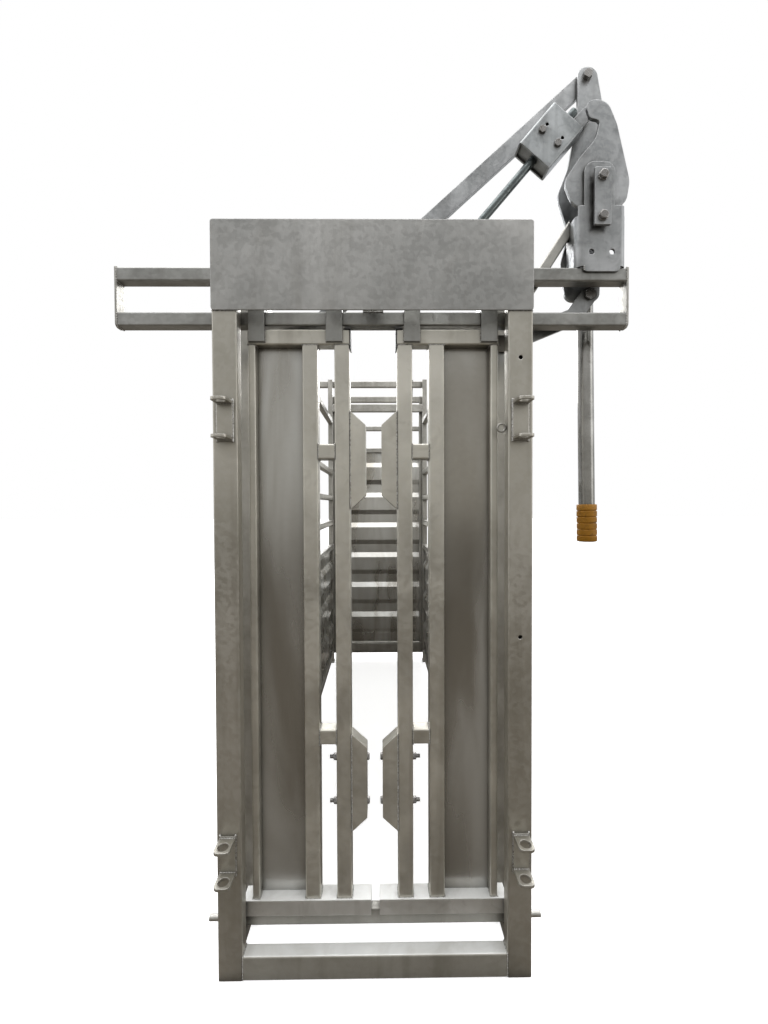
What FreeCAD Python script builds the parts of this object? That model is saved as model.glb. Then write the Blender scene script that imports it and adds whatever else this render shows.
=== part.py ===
"""Cattle crush with a sliding head gate, a race and a sliding rear door.

Millimetres.  X points right as seen from the front, Y points back along the
race, Z points up.  The origin is the middle of the front sill's underside.
"""
import FreeCAD, Part
import math
import os

V = FreeCAD.Vector

# ---------------------------------------------------------------- overall sizes
PORTAL_WIDTH = 900.0          # over both front posts
PORTAL_HEIGHT = 2155.0        # floor to the top of the header
RACE_LENGTH = 2456.0          # back of the front posts to front of the rear posts

# ---------------------------------------------------------------- sections
POST_WIDTH = 70.0
POST_DEPTH = 40.0
POST_WALL = 4.0
TUBE = 40.0                   # square tube of the wings and the race
TUBE_WALL = 3.0
TUBE_CORNER = 5.0
PLATE = 6.0
LEVER_PLATE = 10.0
FIT = 0.05                    # radial clearance of a pin that turns or slides
RUNNING_GAP = 2.0             # between flat parts that pass each other
SEAT_GAP = 0.3                # between the ends of a pin and the link beside it

# ---------------------------------------------------------------- portal
SILL_HEIGHT = 70.0
HEADER_HEIGHT = 250.0
HEADER_THICKNESS = 4.0
HEADER_CORNER = 8.0
POST_HOLE = 12.0
POST_HOLE_HEIGHTS = (985.0, 1775.0)
POST_HALF = PORTAL_WIDTH / 2
POST_INNER = POST_HALF - POST_WIDTH
RACE_INSET = 5.0              # race tubes stand this far outside the posts' inner faces
RACE_HALF_WIDTH = POST_INNER + RACE_INSET
SPACER_INSET = 5.0            # blocks between posts and rails end this far inside the post
POST_FRONT = -POST_DEPTH / 2
POST_BACK = POST_DEPTH / 2

# ---------------------------------------------------------------- wings and rails
WING_PAST_POST = 295.0        # a wing's length outside the post
WING_REACH = POST_HALF + WING_PAST_POST
RAIL_SETBACK = 16.0           # room for the hooks behind the posts
RAIL_BOTTOM = 1886.0          # underside of the rail that carries the leaves
WING_WINDOW = 90.0            # clear height between the two wing tubes
RAIL_FRONT = POST_BACK + RAIL_SETBACK
RAIL_BACK = RAIL_FRONT + TUBE
RAIL_TOP = RAIL_BOTTOM + TUBE
UPPER_BOTTOM = RAIL_TOP + WING_WINDOW
UPPER_TOP = UPPER_BOTTOM + TUBE
HANGER_WIDTH = 60.0
BOTTOM_RAIL = 60.0            # underside of the race's bottom tubes
GUIDE_BOTTOM = BOTTOM_RAIL + TUBE
GUIDE_HEIGHT = 48.0
GUIDE_DEPTH = 30.0
GUIDE_SHORT = 5.0              # the guide ends this far inside the post's outer face
GUIDE_HALF_LENGTH = POST_HALF - GUIDE_SHORT
GUIDE_CAP = 4.0
GUIDE_PEG = 18.0
GUIDE_PEG_REACH = 52.0         # beyond the post's outer face
END_PLATE_LAP = 3.0           # end plates stand proud of the wing tubes
END_PLATE_ROUND = 14.0

# ---------------------------------------------------------------- head gate leaves
LEAF_TUBE = 45.0
LEAF_FRONT = RAIL_FRONT - RUNNING_GAP
LEAF_BACK = LEAF_FRONT + LEAF_TUBE
LEAF_CLEARANCE = 14.0         # between a post's inner face and the leaf
LEAF_OUTER = POST_INNER - LEAF_CLEARANCE
NECK_BAR = 69.0               # middle to the inner face of a leaf's inner bar
LEAF_STILE = 22.0
LEAF_BAR_GAP = 49.0           # between the two inner bars of a leaf
LEAF_SHEET_WIDTH = LEAF_OUTER - LEAF_STILE - 2 * LEAF_TUBE - LEAF_BAR_GAP - NECK_BAR
LEAF_DROP = 11.0              # below the hanging rail
LEAF_TOP = RAIL_BOTTOM - LEAF_DROP
LEAF_SHEET = 3.0
LEAF_SHEET_RECESS = 30.0
TIE_HEIGHTS = (650.0, 1496.0)
SHOE_PAST_LEAF = 27.0
SHOE_OUTER = LEAF_OUTER + SHOE_PAST_LEAF
SHOE_INNER = 12.5
SHOE_LAP = 6.0                # height of the shoe's flats beside the guide
SHOE_HEIGHT = 46.0
SHOE_SHIFT = 2.0              # the shoe sits this far forward of the leaf's middle
SHOE_BOTTOM = GUIDE_BOTTOM + GUIDE_HEIGHT - SHOE_LAP
SHOE_WALL = 4.0
SHOE_TOP = SHOE_BOTTOM + SHOE_HEIGHT
HOOK_WIDTH = 47.0
HOOK_DROP = 48.0              # overlap of a hook on the leaf's top bar
HOOK_PLATE = 8.0
HOOK_LIP = 14.0
HOOK_EDGE = 4.0               # outer hook from the leaf's outer face
HOOK_FROM_NECK = 68.0         # inner hook's outer edge from the inner bar's inner face
HOOK_INSETS = (HOOK_EDGE, LEAF_OUTER - NECK_BAR - HOOK_FROM_NECK)
PAD_REACH = 46.0
PAD_WALL = 4.0
UPPER_PAD = (1348.0, 1638.0)
LOWER_PAD = (388.0, 682.0)
PAD_SLOPE = 42.0
PAD_BOLT_HEIGHTS = (469.0, 603.0)
PAD_BOLT = 12.0

# ---------------------------------------------------------------- lever
PIVOT_X = POST_HALF + 211.0
PIVOT_RISE = 247.0            # above the upper wing tube
PIVOT_Z = UPPER_TOP + PIVOT_RISE
PIVOT_BOLT = 16.0
BRACKET_CENTRE = POST_HALF + 218.0
BRACKET_WIDTH = 148.0
BRACKET_BEND = 20.0
BRACKET_SHOULDER = UPPER_TOP + 176.0
FLANGE_TOP = UPPER_TOP + 149.0
BRACKET_DEPTH = 70.0
TONGUE_WIDTH = 90.0
TAB_WIDTH = 108.0
TAB_DROP = 15.0
BRACKET_HOLE = 16.0
BRACKET_HOLE_SPACING = 60.0
BRACKET_HOLE_RISE = 42.0
STRAP_WIDTH = 47.0
STRAP_THICKNESS = 8.0
STRAP_STANDOFF = 12.0
STRAP_BOLT_DROP = 115.0
STRAP_END = 24.0
HUB_DIAMETER = 50.0
LINK_PIN = 20.0
TOP_PIN = (-1.0, 376.0)       # each of these is measured from the pivot
LOCK_PIN = (-16.0, 237.0)
LOWER_PIN = (3.0, -298.0)
STAY = (25.0, 150.0)
HANDLE_DIAMETER = 48.3
HANDLE_WALL = 3.2
HANDLE_TOP = (10.0, -150.0)
HANDLE_BOTTOM = (22.0, -1057.0)
GRIP_DIAMETER = 60.0
GRIP_LENGTH = 119.0
GRIP_END = 4.0                # closed end of the grip beyond the tube
GRIP_GROOVES = 5

# ---------------------------------------------------------------- links and lock
LEFT_LINK_WIDTH = 50.0
LEFT_LINK_THICKNESS = 16.0
RIGHT_LINK_WIDTH = 50.0
RIGHT_LINK_THICKNESS = 12.0
LEFT_PIN_INSET = 110.0        # from the leaf's outer face
RIGHT_PIN_OUTSET = 30.0
RIGHT_PIN_DROP = 24.0
LEFT_LEAF_PIN = (LEFT_PIN_INSET - LEAF_OUTER, LEAF_TOP - LEAF_TUBE / 2)
RIGHT_LEAF_PIN = (LEAF_OUTER + RIGHT_PIN_OUTSET, LEAF_TOP - RIGHT_PIN_DROP)
RIGHT_LINK_ELBOW = (POST_HALF + 163.0, RAIL_TOP + 12.0)
ROD_DIAMETER = 25.0
ROD_ANCHOR = (POST_HALF - 230.0, UPPER_TOP + 36.0)
ROD_EYE = 50.0
ROD_PAST_BOX = 41.0
BOX_CENTRE = (POST_HALF + 79.0, UPPER_TOP + 396.0)
BOX_LENGTH = 155.0
BOX_WIDTH = 116.0
BOX_DEPTH = 54.0
BOX_WALL = 5.0
BOX_CORNER = 7.0
BOX_BOLT_PLACES = ((-8.0, 30.0), (-8.0, -30.0))     # along and across the box
BOX_HOLE_PLACES = ((14.0, 30.0), (14.0, -30.0))
BOX_HOLE = 10.0
BOX_END_INSET = 6.0
BOX_END_CORNER = 2.5
JAW_PLACES = (-34.0, 22.0)    # start of each jaw along the box
JAW_THICKNESS = 12.0
JAW_SIDE_GAP = 12.0
SPRING_GAP = 2.0              # between the rod and the spring
SPRING_WALL = 3.0
LOCK_LUG_WIDTH = 36.0
LOCK_LUG_PAST_PIN = 22.0
LOCK_LUG_FRONT = 4.0          # from the rod's middle
LOCK_STUB_FRONT = 17.0
ANCHOR_PLATE = 12.0
ANCHOR_GAP = 1.0
LINK_HEAD = 30.0              # across the flats of a link pin's head
LINK_NUT = 12.0

# Layers from front to back behind the bracket's front plate.
BRACKET_FRONT = RAIL_FRONT - PLATE
FRONT_PLATE_Y = RAIL_FRONT + RUNNING_GAP
BOX_FRONT = FRONT_PLATE_Y + LEVER_PLATE + 4.0
ROD_Y = BOX_FRONT + BOX_DEPTH / 2
REAR_PLATE_Y = BOX_FRONT + BOX_DEPTH + 4.0
RIGHT_LINK_Y = REAR_PLATE_Y - RUNNING_GAP - RIGHT_LINK_THICKNESS
LEFT_LINK_Y = REAR_PLATE_Y + LEVER_PLATE + RUNNING_GAP
HANDLE_Y = REAR_PLATE_Y + LEVER_PLATE + HANDLE_DIAMETER / 2 + 0.2

# ---------------------------------------------------------------- race
RACE_POST_FRONT = 166.0
RACE_OUTER = RACE_HALF_WIDTH + TUBE
RACE_POST_WIDTH = 55.0        # front posts, which fill the gap behind the portal
REAR_POST_FRONT = POST_BACK + RACE_LENGTH
MIDDLE_POST_FRONT = (RACE_POST_FRONT + REAR_POST_FRONT) / 2
REAR_POST_TOP = 2435.0
FOOT = 8.0
FOOT_WIDTH = 80.0
SIDE_RAIL_HEIGHTS = (1190.0, 1400.0, 1620.0)
SHEET_TOP = 980.0
SHEET_THICKNESS = 3.0
RIB_DEPTH = 20.0
RIB_PITCH = 262.0
RIB_FLAT = 110.0
RIB_SLOPE = 40.0
REAR_TIE = (2160.0, 2225.0)

# ---------------------------------------------------------------- rear door
DOOR_GAP = 14.0               # between the rear posts and the track
TRACK_BOTTOM = 2385.0
TRACK_HEIGHT = 50.0
DOOR_LAP = 15.0               # door past the race's clear width on each side
DOOR_HALF = RACE_HALF_WIDTH + DOOR_LAP
DOOR_TOP = 2303.0
DOOR_TOP_BAR = 48.0
DOOR_MIDDLE_BAR = (2007.0, 2044.0)
DOOR_SHEET_TOP = 1815.0
DOOR_BOTTOM = 117.0
DOOR_HANGER_WIDTH = 60.0
DOOR_HANGER_INSET = 120.0
DOOR_SHOE_DROP = 34.0
DOOR_TRAVEL = 780.0
TRACK_SPARE = 90.0            # track beyond the open door
TRACK_END = -(DOOR_HALF + DOOR_TRAVEL + TRACK_SPARE)
TRACK_FRONT = REAR_POST_FRONT + TUBE + DOOR_GAP
TRACK_BACK = TRACK_FRONT + TUBE

# ---------------------------------------------------------------- gate lugs and ring
LUG_BASE_WIDTH = 44.0
LUG_REACH = 60.0
LUG_PLATE = 8.0
LUG_BORE = 30.0
LUG_CORNER = 13.0
UPPER_LUGS = (1545.0, 1645.0)
LOWER_LUGS = (314.0, 412.0)
UPPER_LUG_INSET = 36.0        # post's outer face to the middle of the lug
LOWER_LUG_INSET = 32.0
RING_HEIGHT = 1581.0
RING_RADIUS = 11.0
RING_WIRE = 3.0

NODES = {}


# ================================================================ basic shapes
def box(low, high):
    """Block between two corners."""
    size = V(*high) - V(*low)
    return Part.makeBox(size.x, size.y, size.z, V(*low))


def rounded_bar(low, high, axis, radius):
    """Block whose four edges along an axis (0, 1 or 2) are rounded."""
    bar = box(low, high)
    if radius <= 0:
        return bar
    across = [i for i in range(3) if i != axis]
    edges = [e for e in bar.Edges
             if all(abs(e.Vertexes[0].Point[i] - e.Vertexes[1].Point[i]) < 1e-6 for i in across)]
    return bar.makeFillet(radius, edges)


def tube(low, high, axis, wall=TUBE_WALL, corner=TUBE_CORNER):
    """Hollow rectangular tube, open at both ends of its axis."""
    inner_low = [low[i] if i == axis else low[i] + wall for i in range(3)]
    inner_high = [high[i] if i == axis else high[i] - wall for i in range(3)]
    outer = rounded_bar(low, high, axis, corner)
    return outer.cut(rounded_bar(inner_low, inner_high, axis, corner - wall))


def rod_y(x, z, y0, y1, diameter):
    """Round bar along Y."""
    return Part.makeCylinder(diameter / 2, y1 - y0, V(x, y0, z), V(0, 1, 0))


def hexagon(centre, axis, across_flats, height):
    """Hexagon head or nut that starts at centre and grows along axis."""
    axis = V(*axis)
    side = V(0, 0, 1) if abs(axis.z) < 0.5 else V(1, 0, 0)
    other = axis.cross(side)
    radius = across_flats / math.sqrt(3)
    points = []
    for k in range(7):
        turn = math.radians(60 * k)
        points.append(V(*centre) + side * (radius * math.cos(turn)) + other * (radius * math.sin(turn)))
    return Part.Face(Part.makePolygon(points)).extrude(axis * height)


def rounded_face(corners, y):
    """Face in the plane at y; each corner is (x, z, radius), joined by tangent arcs.

    A radius is limited so that its arc ends by the middle of both sides.
    """
    places = [V(x, y, z) for x, z, _ in corners]
    turns = []
    for i, (_, _, radius) in enumerate(corners):
        here = places[i]
        back = places[i - 1] - here
        ahead = places[(i + 1) % len(places)] - here
        longest = min(back.Length, ahead.Length) / 2
        back.normalize()
        ahead.normalize()
        half = back.getAngle(ahead) / 2
        reach = min(radius / math.tan(half), longest)
        radius = reach * math.tan(half)
        middle = here + (back + ahead).normalize() * (radius / math.sin(half) - radius)
        turns.append((here + back * reach, middle, here + ahead * reach, radius))
    edges = []
    for i, (start, middle, end, radius) in enumerate(turns):
        if radius > 0:
            edges.append(Part.Arc(start, middle, end).toShape())
        following = turns[(i + 1) % len(turns)][0]
        if (following - end).Length > 1e-6:
            edges.append(Part.makeLine(end, following))
    return Part.Face(Part.Wire(edges))


def flat_plate(corners, y0, y1):
    """Plate of a rounded outline between two planes of y."""
    return rounded_face(corners, y0).extrude(V(0, y1 - y0, 0))


def link_bar(start, end, width, y0, y1):
    """Flat bar with round ends from one pin to another, both (x, z)."""
    run = V(end[0] - start[0], 0, end[1] - start[1])
    length = run.Length
    r = width / 2
    bar = flat_plate([(-r, -r, r - 0.01), (length + r, -r, r - 0.01),
                      (length + r, r, r - 0.01), (-r, r, r - 0.01)], y0, y1)
    bar.rotate(V(0, 0, 0), V(0, 1, 0), -math.degrees(math.atan2(run.z, run.x)))
    bar.translate(V(start[0], 0, start[1]))
    return bar


def from_pivot(place):
    """Place (x, z) of a point given from the lever's pivot."""
    return (PIVOT_X + place[0], PIVOT_Z + place[1])


def shifted(corners):
    """Outline given from the lever's pivot, moved to where it stands."""
    return [(PIVOT_X + x, PIVOT_Z + z, radius) for x, z, radius in corners]


def mirrored(shape):
    """The same piece for the other side of the crush."""
    return shape.mirror(V(0, 0, 0), V(1, 0, 0))


def save(name, *solids):
    """Add one or more separate solids to a node."""
    NODES.setdefault(name, []).extend(solids)


# ================================================================ portal
def portal():
    """Front posts, sill and header plate."""
    post = tube((-POST_HALF, POST_FRONT, 0), (-POST_INNER, POST_BACK, PORTAL_HEIGHT), 2, POST_WALL)
    save("left_post", post)
    right = mirrored(post)
    for height in POST_HOLE_HEIGHTS:
        right = right.cut(rod_y(POST_HALF - POST_WIDTH / 2, height, POST_FRONT - 1, POST_BACK + 1, POST_HOLE))
    save("right_post", right)
    save("front_sill", tube((-POST_INNER, POST_FRONT, 0), (POST_INNER, POST_BACK, SILL_HEIGHT), 0, POST_WALL))
    low = PORTAL_HEIGHT - HEADER_HEIGHT
    header = flat_plate([(-POST_HALF, low, HEADER_CORNER), (POST_HALF, low, HEADER_CORNER),
                         (POST_HALF, PORTAL_HEIGHT, HEADER_CORNER), (-POST_HALF, PORTAL_HEIGHT, HEADER_CORNER)],
                        POST_FRONT - HEADER_THICKNESS, POST_FRONT)
    save("header_plate", header)


def wings():
    """Tubes that carry the leaves and run out to both sides, with their end plates."""
    save("upper_wing_tube", tube((-WING_REACH, RAIL_FRONT, UPPER_BOTTOM), (WING_REACH, RAIL_BACK, UPPER_TOP), 0))
    save("hanging_rail", tube((-WING_REACH, RAIL_FRONT, RAIL_BOTTOM), (WING_REACH, RAIL_BACK, RAIL_TOP), 0))
    tall = UPPER_TOP - RAIL_BOTTOM + 2 * END_PLATE_LAP
    end = rounded_face([(0, 0, END_PLATE_ROUND), (TUBE, 0, END_PLATE_ROUND),
                        (TUBE, tall, END_PLATE_LAP), (0, tall, END_PLATE_LAP)], 0).extrude(V(0, PLATE, 0))
    end.rotate(V(0, 0, 0), V(0, 0, 1), 90)
    end.translate(V(WING_REACH + PLATE, RAIL_FRONT, RAIL_BOTTOM - END_PLATE_LAP))
    save("wing_end_plates", end, mirrored(end))
    half = HANGER_WIDTH / 2
    save("rail_blocks", box((-half, RAIL_FRONT, RAIL_TOP), (half, RAIL_BACK, UPPER_BOTTOM)))
    spacer = box((-POST_HALF + SPACER_INSET, POST_BACK, UPPER_BOTTOM),
                 (-POST_INNER - SPACER_INSET, RAIL_FRONT, UPPER_TOP))
    save("rail_blocks", spacer, mirrored(spacer))
    middle = (LEAF_FRONT + LEAF_BACK) / 2
    save("bottom_guide_rail",
         tube((-GUIDE_HALF_LENGTH, middle - GUIDE_DEPTH / 2, GUIDE_BOTTOM),
              (GUIDE_HALF_LENGTH, middle + GUIDE_DEPTH / 2, GUIDE_BOTTOM + GUIDE_HEIGHT), 0))
    cap = box((GUIDE_HALF_LENGTH, middle - GUIDE_DEPTH / 2, GUIDE_BOTTOM),
              (GUIDE_HALF_LENGTH + GUIDE_CAP, middle + GUIDE_DEPTH / 2, GUIDE_BOTTOM + GUIDE_HEIGHT))
    start = GUIDE_HALF_LENGTH + GUIDE_CAP
    peg = Part.makeCylinder(GUIDE_PEG / 2, POST_HALF + GUIDE_PEG_REACH - start,
                            V(start, middle, GUIDE_BOTTOM + GUIDE_PEG / 2 + GUIDE_CAP), V(1, 0, 0))
    peg = peg.fuse(cap).removeSplitter()
    save("bottom_guide_rail", peg, mirrored(peg))


def gate_lug(inset, height):
    """One horizontal lug with a vertical bore, on the left post's front face."""
    centre = -POST_HALF + inset
    half = LUG_BASE_WIDTH / 2
    front = POST_FRONT - LUG_REACH
    lug = box((centre - half, front, height), (centre + half, POST_FRONT - PLATE, height + LUG_PLATE))
    tips = [e for e in lug.Edges
            if all(abs(v.Point.y - front) < 1e-6 for v in e.Vertexes)
            and abs(e.Vertexes[0].Point.z - e.Vertexes[1].Point.z) > 1]
    lug = lug.makeFillet(LUG_CORNER, tips)
    bore = Part.makeCylinder(LUG_BORE / 2, LUG_PLATE + 2, V(centre, front + half, height - 1))
    return lug.cut(bore)


def lug_pair(inset, heights):
    """Two lugs and the base plate that joins them."""
    centre = -POST_HALF + inset
    half = LUG_BASE_WIDTH / 2
    base = box((centre - half, POST_FRONT - PLATE, heights[0] - 4),
               (centre + half, POST_FRONT, heights[1] + LUG_PLATE + 4))
    return [gate_lug(inset, heights[0]), gate_lug(inset, heights[1]), base]


def gate_lugs():
    """Hinge lugs for a side gate on both posts, and the tie ring."""
    for inset, heights in ((UPPER_LUG_INSET, UPPER_LUGS), (LOWER_LUG_INSET, LOWER_LUGS)):
        left = lug_pair(inset, heights)
        save("left_gate_lugs", *left)
        save("right_gate_lugs", *[mirrored(s) for s in left])
    ring_x = POST_INNER - RING_RADIUS - RING_WIRE - 0.2
    save("tie_ring", Part.makeTorus(RING_RADIUS, RING_WIRE, V(ring_x, 0, RING_HEIGHT), V(0, 1, 0)))


# ================================================================ head gate leaf (left)
def leaf_frame():
    """Top bar, outer stile, two bars and the ties between them."""
    y0, y1 = LEAF_FRONT, LEAF_BACK
    base = LEAF_TOP - LEAF_TUBE
    stile_in = -LEAF_OUTER + LEAF_STILE
    outer_bar = stile_in + LEAF_SHEET_WIDTH
    inner_bar = outer_bar + LEAF_TUBE + LEAF_BAR_GAP
    solids = [tube((-LEAF_OUTER, y0, base), (inner_bar + LEAF_TUBE, y1, LEAF_TOP), 0),
              tube((-LEAF_OUTER, y0, SHOE_TOP), (stile_in, y1, base), 2),
              tube((outer_bar, y0, SHOE_TOP), (outer_bar + LEAF_TUBE, y1, base), 2)]
    bar = tube((inner_bar, y0, SHOE_TOP), (inner_bar + LEAF_TUBE, y1, base), 2)
    for height in PAD_BOLT_HEIGHTS:
        bar = bar.cut(bolt_hole(inner_bar - 1, inner_bar + LEAF_TUBE + 1, height))
    solids.append(bar)
    for height in TIE_HEIGHTS:
        solids.append(tube((outer_bar + LEAF_TUBE, y0, height), (inner_bar, y1, height + LEAF_TUBE), 0))
    return solids, stile_in, outer_bar, inner_bar


def bolt_hole(x0, x1, height):
    """Clearance hole for a pad bolt."""
    middle = (LEAF_FRONT + LEAF_BACK) / 2
    return Part.makeCylinder(PAD_BOLT / 2 + 0.5, x1 - x0, V(x0, middle, height), V(1, 0, 0))


def leaf_shoe():
    """Shoe that straddles the bottom guide: a top flat and two side flats."""
    y0 = LEAF_FRONT - SHOE_WALL - SHOE_SHIFT
    y1 = LEAF_BACK + SHOE_WALL - SHOE_SHIFT
    web = SHOE_TOP - SHOE_WALL
    return [box((-SHOE_OUTER, y0, web), (-SHOE_INNER, y1, SHOE_TOP)),
            box((-SHOE_OUTER, y0, SHOE_BOTTOM), (-SHOE_INNER, y0 + SHOE_WALL, web)),
            box((-SHOE_OUTER, y1 - SHOE_WALL, SHOE_BOTTOM), (-SHOE_INNER, y1, web))]


def leaf_hooks():
    """Two hooks that hang the leaf on the rail: a strap, a top flat and a lip each."""
    solids = []
    back = RAIL_BACK + RUNNING_GAP
    top = RAIL_TOP + SEAT_GAP
    for inset in HOOK_INSETS:
        x0 = -LEAF_OUTER + inset
        x1 = x0 + HOOK_WIDTH
        solids.append(box((x0, LEAF_FRONT - HOOK_PLATE, LEAF_TOP - HOOK_DROP + 10), (x1, LEAF_FRONT, top)))
        solids.append(box((x0, LEAF_FRONT - HOOK_PLATE, top), (x1, back + HOOK_PLATE, top + HOOK_PLATE)))
        solids.append(box((x0, back, top - HOOK_LIP), (x1, back + HOOK_PLATE, top)))
    return solids


def neck_pad(face, heights, bolted):
    """Folded pad with sloping ends on the inner bar, open towards the bar."""
    low, high = heights
    outline = [(face, low, 0), (face + PAD_REACH, low + PAD_SLOPE, 6),
               (face + PAD_REACH, high - PAD_SLOPE, 6), (face, high, 0)]
    pad = flat_plate(outline, LEAF_FRONT, LEAF_BACK)
    inside = [(face - 5, low + PAD_WALL + 2, 0), (face + PAD_REACH - PAD_WALL, low + PAD_SLOPE + 3, 2),
              (face + PAD_REACH - PAD_WALL, high - PAD_SLOPE - 3, 2), (face - 5, high - PAD_WALL - 2, 0)]
    pad = pad.cut(flat_plate(inside, LEAF_FRONT + PAD_WALL, LEAF_BACK - PAD_WALL))
    if bolted:
        for height in PAD_BOLT_HEIGHTS:
            pad = pad.cut(bolt_hole(face, face + PAD_REACH + 1, height))
    return pad


def pad_bolts(bar_face, pad_face):
    """Bolts through the lower pad and the bar, with their heads and nuts."""
    middle = (LEAF_FRONT + LEAF_BACK) / 2
    solids = []
    for height in PAD_BOLT_HEIGHTS:
        shank = Part.makeCylinder(PAD_BOLT / 2, pad_face - bar_face + 22, V(bar_face - 22, middle, height), V(1, 0, 0))
        head = hexagon((pad_face, middle, height), (1, 0, 0), 18, 7)
        solids.append(shank.fuse(head).removeSplitter())
        nut = hexagon((bar_face - 11, middle, height), (1, 0, 0), 18, 11)
        hole = Part.makeCylinder(PAD_BOLT / 2, 20, V(bar_face - 16, middle, height), V(1, 0, 0))
        solids.append(nut.cut(hole))
    return solids


def leaves():
    """Both leaves; the right one mirrors the left one but for its link's pin."""
    frame, stile_in, outer_bar, inner_bar = leaf_frame()
    face = inner_bar + LEAF_TUBE
    sheet_y = LEAF_FRONT + LEAF_SHEET_RECESS
    left = {
        "leaf_frame": frame,
        "leaf_sheet": [box((stile_in, sheet_y, SHOE_TOP), (outer_bar, sheet_y + LEAF_SHEET, LEAF_TOP - LEAF_TUBE))],
        "leaf_shoe": leaf_shoe(),
        "leaf_hooks": leaf_hooks(),
        "neck_pads": [neck_pad(face, UPPER_PAD, False), neck_pad(face, LOWER_PAD, True)],
        "pad_bolts": pad_bolts(inner_bar, face + PAD_REACH),
    }
    for name, solids in left.items():
        save("left_" + name, *solids)
        save("right_" + name, *[mirrored(s) for s in solids])
    save("left_leaf_pin", rod_y(*LEFT_LEAF_PIN, LEAF_BACK, LEFT_LINK_Y - SEAT_GAP, LINK_PIN))
    x, z = RIGHT_LEAF_PIN
    lug = flat_plate([(LEAF_OUTER - 30, z - 24, 4), (x + 22, z - 24, 16), (x + 22, z + 24, 16),
                      (LEAF_OUTER - 30, z + 24, 4)], LEAF_BACK, LEAF_BACK + HOOK_PLATE)
    pin = rod_y(x, z, LEAF_BACK + HOOK_PLATE, RIGHT_LINK_Y - SEAT_GAP, LINK_PIN)
    save("right_leaf_pin", lug.fuse(pin).removeSplitter())


# ================================================================ lever
def lever_bracket():
    """Bent channel on the right wing, with a tongue for the pivot and a tab on the tube."""
    x0 = BRACKET_CENTRE - BRACKET_WIDTH / 2
    x1 = BRACKET_CENTRE + BRACKET_WIDTH / 2
    y0 = BRACKET_FRONT
    y1 = y0 + BRACKET_DEPTH
    outer = box((x0, y0, UPPER_TOP), (x1, y1, BRACKET_SHOULDER))
    bends = [e for e in outer.Edges
             if all(abs(v.Point.y - y0) < 1e-6 for v in e.Vertexes)
             and abs(e.Vertexes[0].Point.z - e.Vertexes[1].Point.z) > 1]
    outer = outer.makeFillet(BRACKET_BEND, bends)
    inner = box((x0 + PLATE, y0 + PLATE, UPPER_TOP - 1), (x1 - PLATE, y1 + 1, BRACKET_SHOULDER + 1))
    bends = [e for e in inner.Edges
             if all(abs(v.Point.y - y0 - PLATE) < 1e-6 for v in e.Vertexes)
             and abs(e.Vertexes[0].Point.z - e.Vertexes[1].Point.z) > 1]
    channel = outer.cut(inner.makeFillet(BRACKET_BEND - PLATE, bends))
    channel = channel.cut(box((x0 - 1, y0 + PLATE, FLANGE_TOP), (x1 + 1, y1 + 1, BRACKET_SHOULDER + 1)))
    tongue_top = PIVOT_Z + 55
    half = TONGUE_WIDTH / 2
    tongue = flat_plate([(PIVOT_X - half, BRACKET_SHOULDER - 20, 0), (PIVOT_X + half, BRACKET_SHOULDER - 20, 0),
                         (PIVOT_X + half, tongue_top, 30), (PIVOT_X - half, tongue_top, 30)], y0, y0 + PLATE)
    half = TAB_WIDTH / 2
    tab = flat_plate([(BRACKET_CENTRE - half, UPPER_TOP - TAB_DROP, 13), (BRACKET_CENTRE + half, UPPER_TOP - TAB_DROP, 13),
                      (BRACKET_CENTRE + half, UPPER_TOP + 20, 0), (BRACKET_CENTRE - half, UPPER_TOP + 20, 0)],
                     y0, y0 + PLATE)
    bracket = channel.fuse([tongue, tab]).removeSplitter()
    for side in (-0.5, 0.5):
        x = BRACKET_CENTRE + side * BRACKET_HOLE_SPACING
        bracket = bracket.cut(rod_y(x, UPPER_TOP + BRACKET_HOLE_RISE, y0 - 1, y0 + PLATE + 1, BRACKET_HOLE))
    for drop in (0.0, STRAP_BOLT_DROP):
        bracket = bracket.cut(rod_y(PIVOT_X, PIVOT_Z - drop, y0 - 1, y0 + PLATE + 1, PIVOT_BOLT))
    save("lever_bracket", bracket)


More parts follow.
